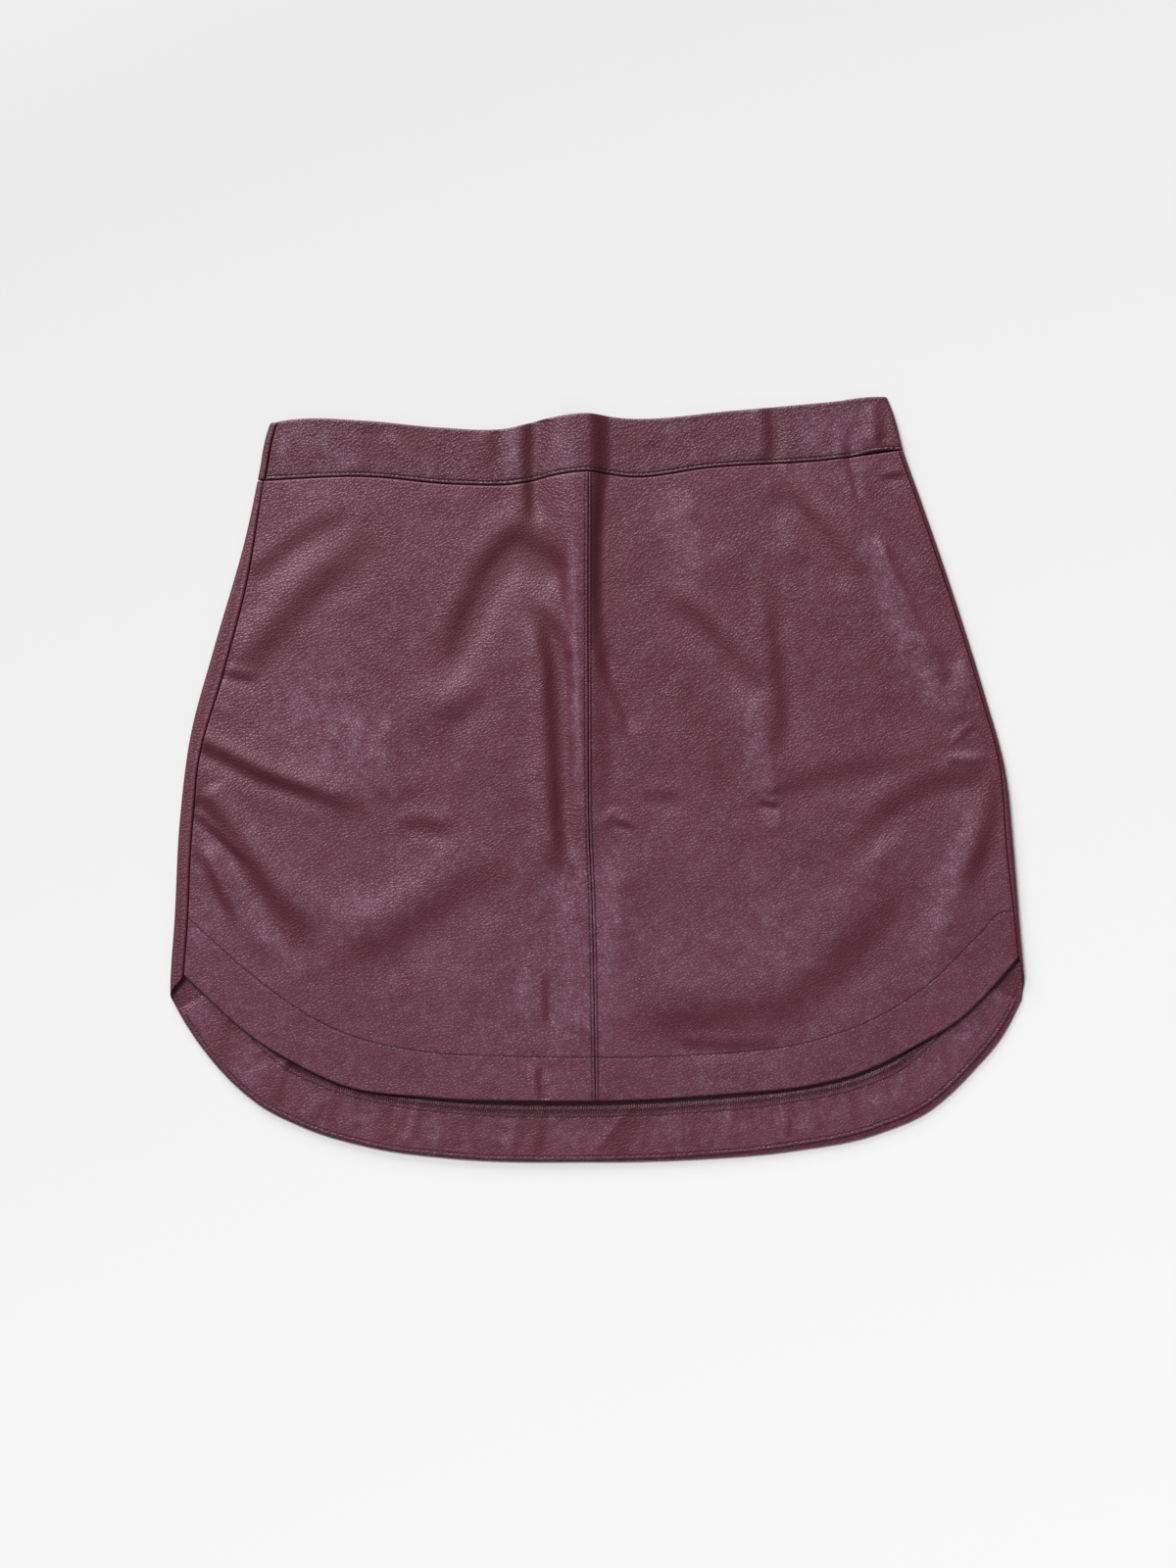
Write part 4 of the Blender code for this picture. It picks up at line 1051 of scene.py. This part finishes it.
def stitch_row(name, route, face, sink=0.12):
    """A row of stitches along a route of (x, y) points in millimetres, on a face given as z from x, y."""
    knots = np.array(route, float)
    lengths = reached(knots)
    count = int(lengths[-1] / STITCH)
    middles = (np.arange(count) + 0.5) * lengths[-1] / count
    half = STITCH_SHOWN / 2
    ends = [[np.interp(middles + way * half, lengths, knots[:, axis]) for axis in (0, 1)] for way in (-1, 1)]
    ends = [np.stack([*end, face(*end) - sink], axis=1) for end in ends]
    size = Matrix.Diagonal((half, THREAD / 2, THREAD / 2, 1))
    bm = bmesh.new()
    for a, b in zip(*ends):
        a, b = Vector(a), Vector(b)
        turn = Vector((1, 0, 0)).rotation_difference((b - a).normalized()).to_matrix().to_4x4()
        bmesh.ops.create_uvsphere(bm, u_segments=8, v_segments=6, radius=1.0,
                                  matrix=Matrix.Scale(MM, 4) @ Matrix.Translation((a + b) / 2) @ turn @ size)
    mesh = mesh_from(bm, name, thread)
    mesh.shade_smooth()
    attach(in_scene(name, mesh), "skirt")


def curve_route(x_ends, height):
    xs = np.linspace(*x_ends, 300)
    return list(zip(xs, height(xs)))


def side_route(y_ends, aside):
    ys = np.linspace(*y_ends, 200)
    return list(zip(aside(ys), ys))


def facing_route(aside):
    return list(zip(*facing_plan(np.linspace(*FACING_ENDS, 300), aside)))


def facing_top(x, y, aside):
    """Height of the facing's upper face, that far in from the hem."""
    shares = np.linspace(0, 1, 800)
    path_x, path_y = facing_plan(shares, aside)
    nearest = shares[np.argmin(np.hypot(path_x[None] - x[:, None], path_y[None] - y[:, None]), axis=1)]
    return FACING_BASE + FACING_THICK + facing_lift(nearest, np.full(nearest.shape, aside)) - 0.1


front_top = float(lower_seam(-5.5)) - 1.0
stitch_row("stitches_waistband_front",
           curve_route((-197.5, 182.5), lambda x: band_seam(x) + HALF_GAP + BAND_ROW), band_face)
stitch_row("stitches_centre_left",
           side_route((-195.0, front_top), lambda y: centre_seam(y) - CENTRE_ROW), front_face)
stitch_row("stitches_centre_right",
           side_route((-195.0, front_top), lambda y: centre_seam(y) + CENTRE_ROW), front_face)
stitch_row("stitches_front_hem_left", curve_route((-249.4, -4.5), hem_row), front_face)
stitch_row("stitches_front_hem_right", curve_route((0.8, 251.0), hem_row), front_face)
stitch_row("stitches_facing_edge", facing_route(EDGE_ROW), lambda x, y: facing_top(x, y, EDGE_ROW), 0.2)
stitch_row("stitches_facing_top", facing_route(TOP_ROW), lambda x, y: facing_top(x, y, TOP_ROW), 0.2)


OVERLOCK_PITCH = 1.6
OVERLOCK_DEPTH = 5.6
LOOPER_RADIUS = 0.15


def overlock():
    """Two looper threads that zigzag over the facing's raw top edge."""
    curve = bpy.data.curves.new("overlock_guide", "CURVE")
    curve.dimensions = "3D"
    curve.bevel_depth = LOOPER_RADIUS * MM
    curve.bevel_resolution = 1
    line = curve.splines.new("POLY")
    steps = np.arange(int(FACING_LENGTH / OVERLOCK_PITCH) * 4 + 1)
    share = steps / steps[-1]
    swing = np.array([0.0, 0.55, 1.0, 0.45])[steps % 4]
    aside = FACING_HEIGHT + 0.3 - OVERLOCK_DEPTH * swing
    x, y = facing_plan(share, aside)
    z = FACING_BASE + FACING_THICK + facing_lift(share, aside) + 0.12 + 0.05 * (steps % 2)
    z = z - 0.5 * (swing == 0)
    line.points.add(len(steps) - 1)
    for point, place in zip(line.points, np.stack([x, y, z], axis=1) * MM):
        point.co = (*place, 1.0)
    guide = in_scene("overlock_guide", curve)
    mesh = bpy.data.meshes.new_from_object(guide.evaluated_get(bpy.context.evaluated_depsgraph_get()))
    bpy.data.objects.remove(guide)
    mesh.name = "overlock"
    mesh.materials.clear()
    mesh.materials.append(thread)
    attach(in_scene("overlock", mesh), "skirt")


overlock()


# ---------------------------------------------------------------- zip slider and pull
# Painted zinc, to match the leather. The slider sits closed at the waist inside the ridge, and its pull
# tab hangs from it in the gap of the back waistband.

def painted_metal():
    made, tree, shader = new_material("painted_metal")
    painted_light_and_wear = texture(tree, "Noise", object_place(tree), Scale=420.0, Detail=5.0).outputs["Fac"]
    feed(tree, shader.inputs["Base Color"], mixed(tree, painted_light_and_wear, (0.070, 0.010, 0.022), (0.105, 0.020, 0.036)))
    feed(tree, shader.inputs["Roughness"], math_node(tree, "MULTIPLY_ADD", painted_light_and_wear, 0.25, 0.2))
    shader.inputs["Metallic"].default_value = 0.25
    shader.inputs["Coat Weight"].default_value = 0.3
    return made


zip_finish = painted_metal()
for name in ("zip_slider", "zip_pull"):
    node = bpy.data.objects[name]
    node.data.materials.clear()
    node.data.materials.append(zip_finish)


# ---------------------------------------------------------------- floor, light and camera
# A pale matt surface under soft studio light: two broad softboxes beyond the waist, a little to the left,
# one high and one low, and an even white room. The camera looks straight down.

FLOOR_DROP = 0.3


def pale_floor():
    made, tree, shader = new_material("pale_floor")
    split = tree.nodes.new("ShaderNodeSeparateXYZ")
    feed(tree, split.inputs[0], object_place(tree))
    # Painted light fall-off: the floor is darker towards the top and left and paler towards the bottom and
    # right.
    down = math_node(tree, "MULTIPLY_ADD", split.outputs["Y"], -0.9, 0.45, clamp=True)
    across = math_node(tree, "MULTIPLY", split.outputs["X"], 0.35)
    fade = math_node(tree, "ADD", down, across, clamp=True)
    feed(tree, shader.inputs["Base Color"], mixed(tree, fade, (0.685, 0.685, 0.685), (0.96, 0.96, 0.96)))
    shader.inputs["Roughness"].default_value = 0.9
    shader.inputs["Specular IOR Level"].default_value = 0.0
    bm = bmesh.new()
    bmesh.ops.create_grid(bm, x_segments=1, y_segments=1, size=3.0)
    for vert in bm.verts:
        vert.co.z = -FLOOR_DROP * MM
    return in_scene("floor", mesh_from(bm, "floor", made))


floor = pale_floor()

world = bpy.data.worlds.new("room")
bpy.context.scene.world = world
world.use_nodes = True
room_light = world.node_tree.nodes["Background"]
room_light.inputs["Color"].default_value = (1.0, 1.0, 1.0, 1.0)
room_light.inputs["Strength"].default_value = 0.19


def softbox(name, place, size, watts):
    """A rectangular area light at a place, aimed at the skirt."""
    light = bpy.data.lights.new(name, "AREA")
    light.shape = "RECTANGLE"
    light.size, light.size_y = size
    light.energy = watts
    lamp = in_scene(name, light)
    lamp.location = place
    lamp.rotation_euler = (-Vector(place)).to_track_quat("-Z", "Y").to_euler()


softbox("waist_softbox", (-2.9, 5.7, 6.9), (4.5, 3.3), 860.0)
softbox("low_softbox", (-2.4, 7.6, 2.2), (5.0, 2.2), 640.0)

view = bpy.data.cameras.new("camera")
view.lens = 85.0
view.sensor_width = 36.0
camera = in_scene("camera", view)
camera.location = (-0.0057, -0.0027, 2.267)
bpy.context.scene.camera = camera
bpy.context.scene.view_settings.view_transform = "Standard"
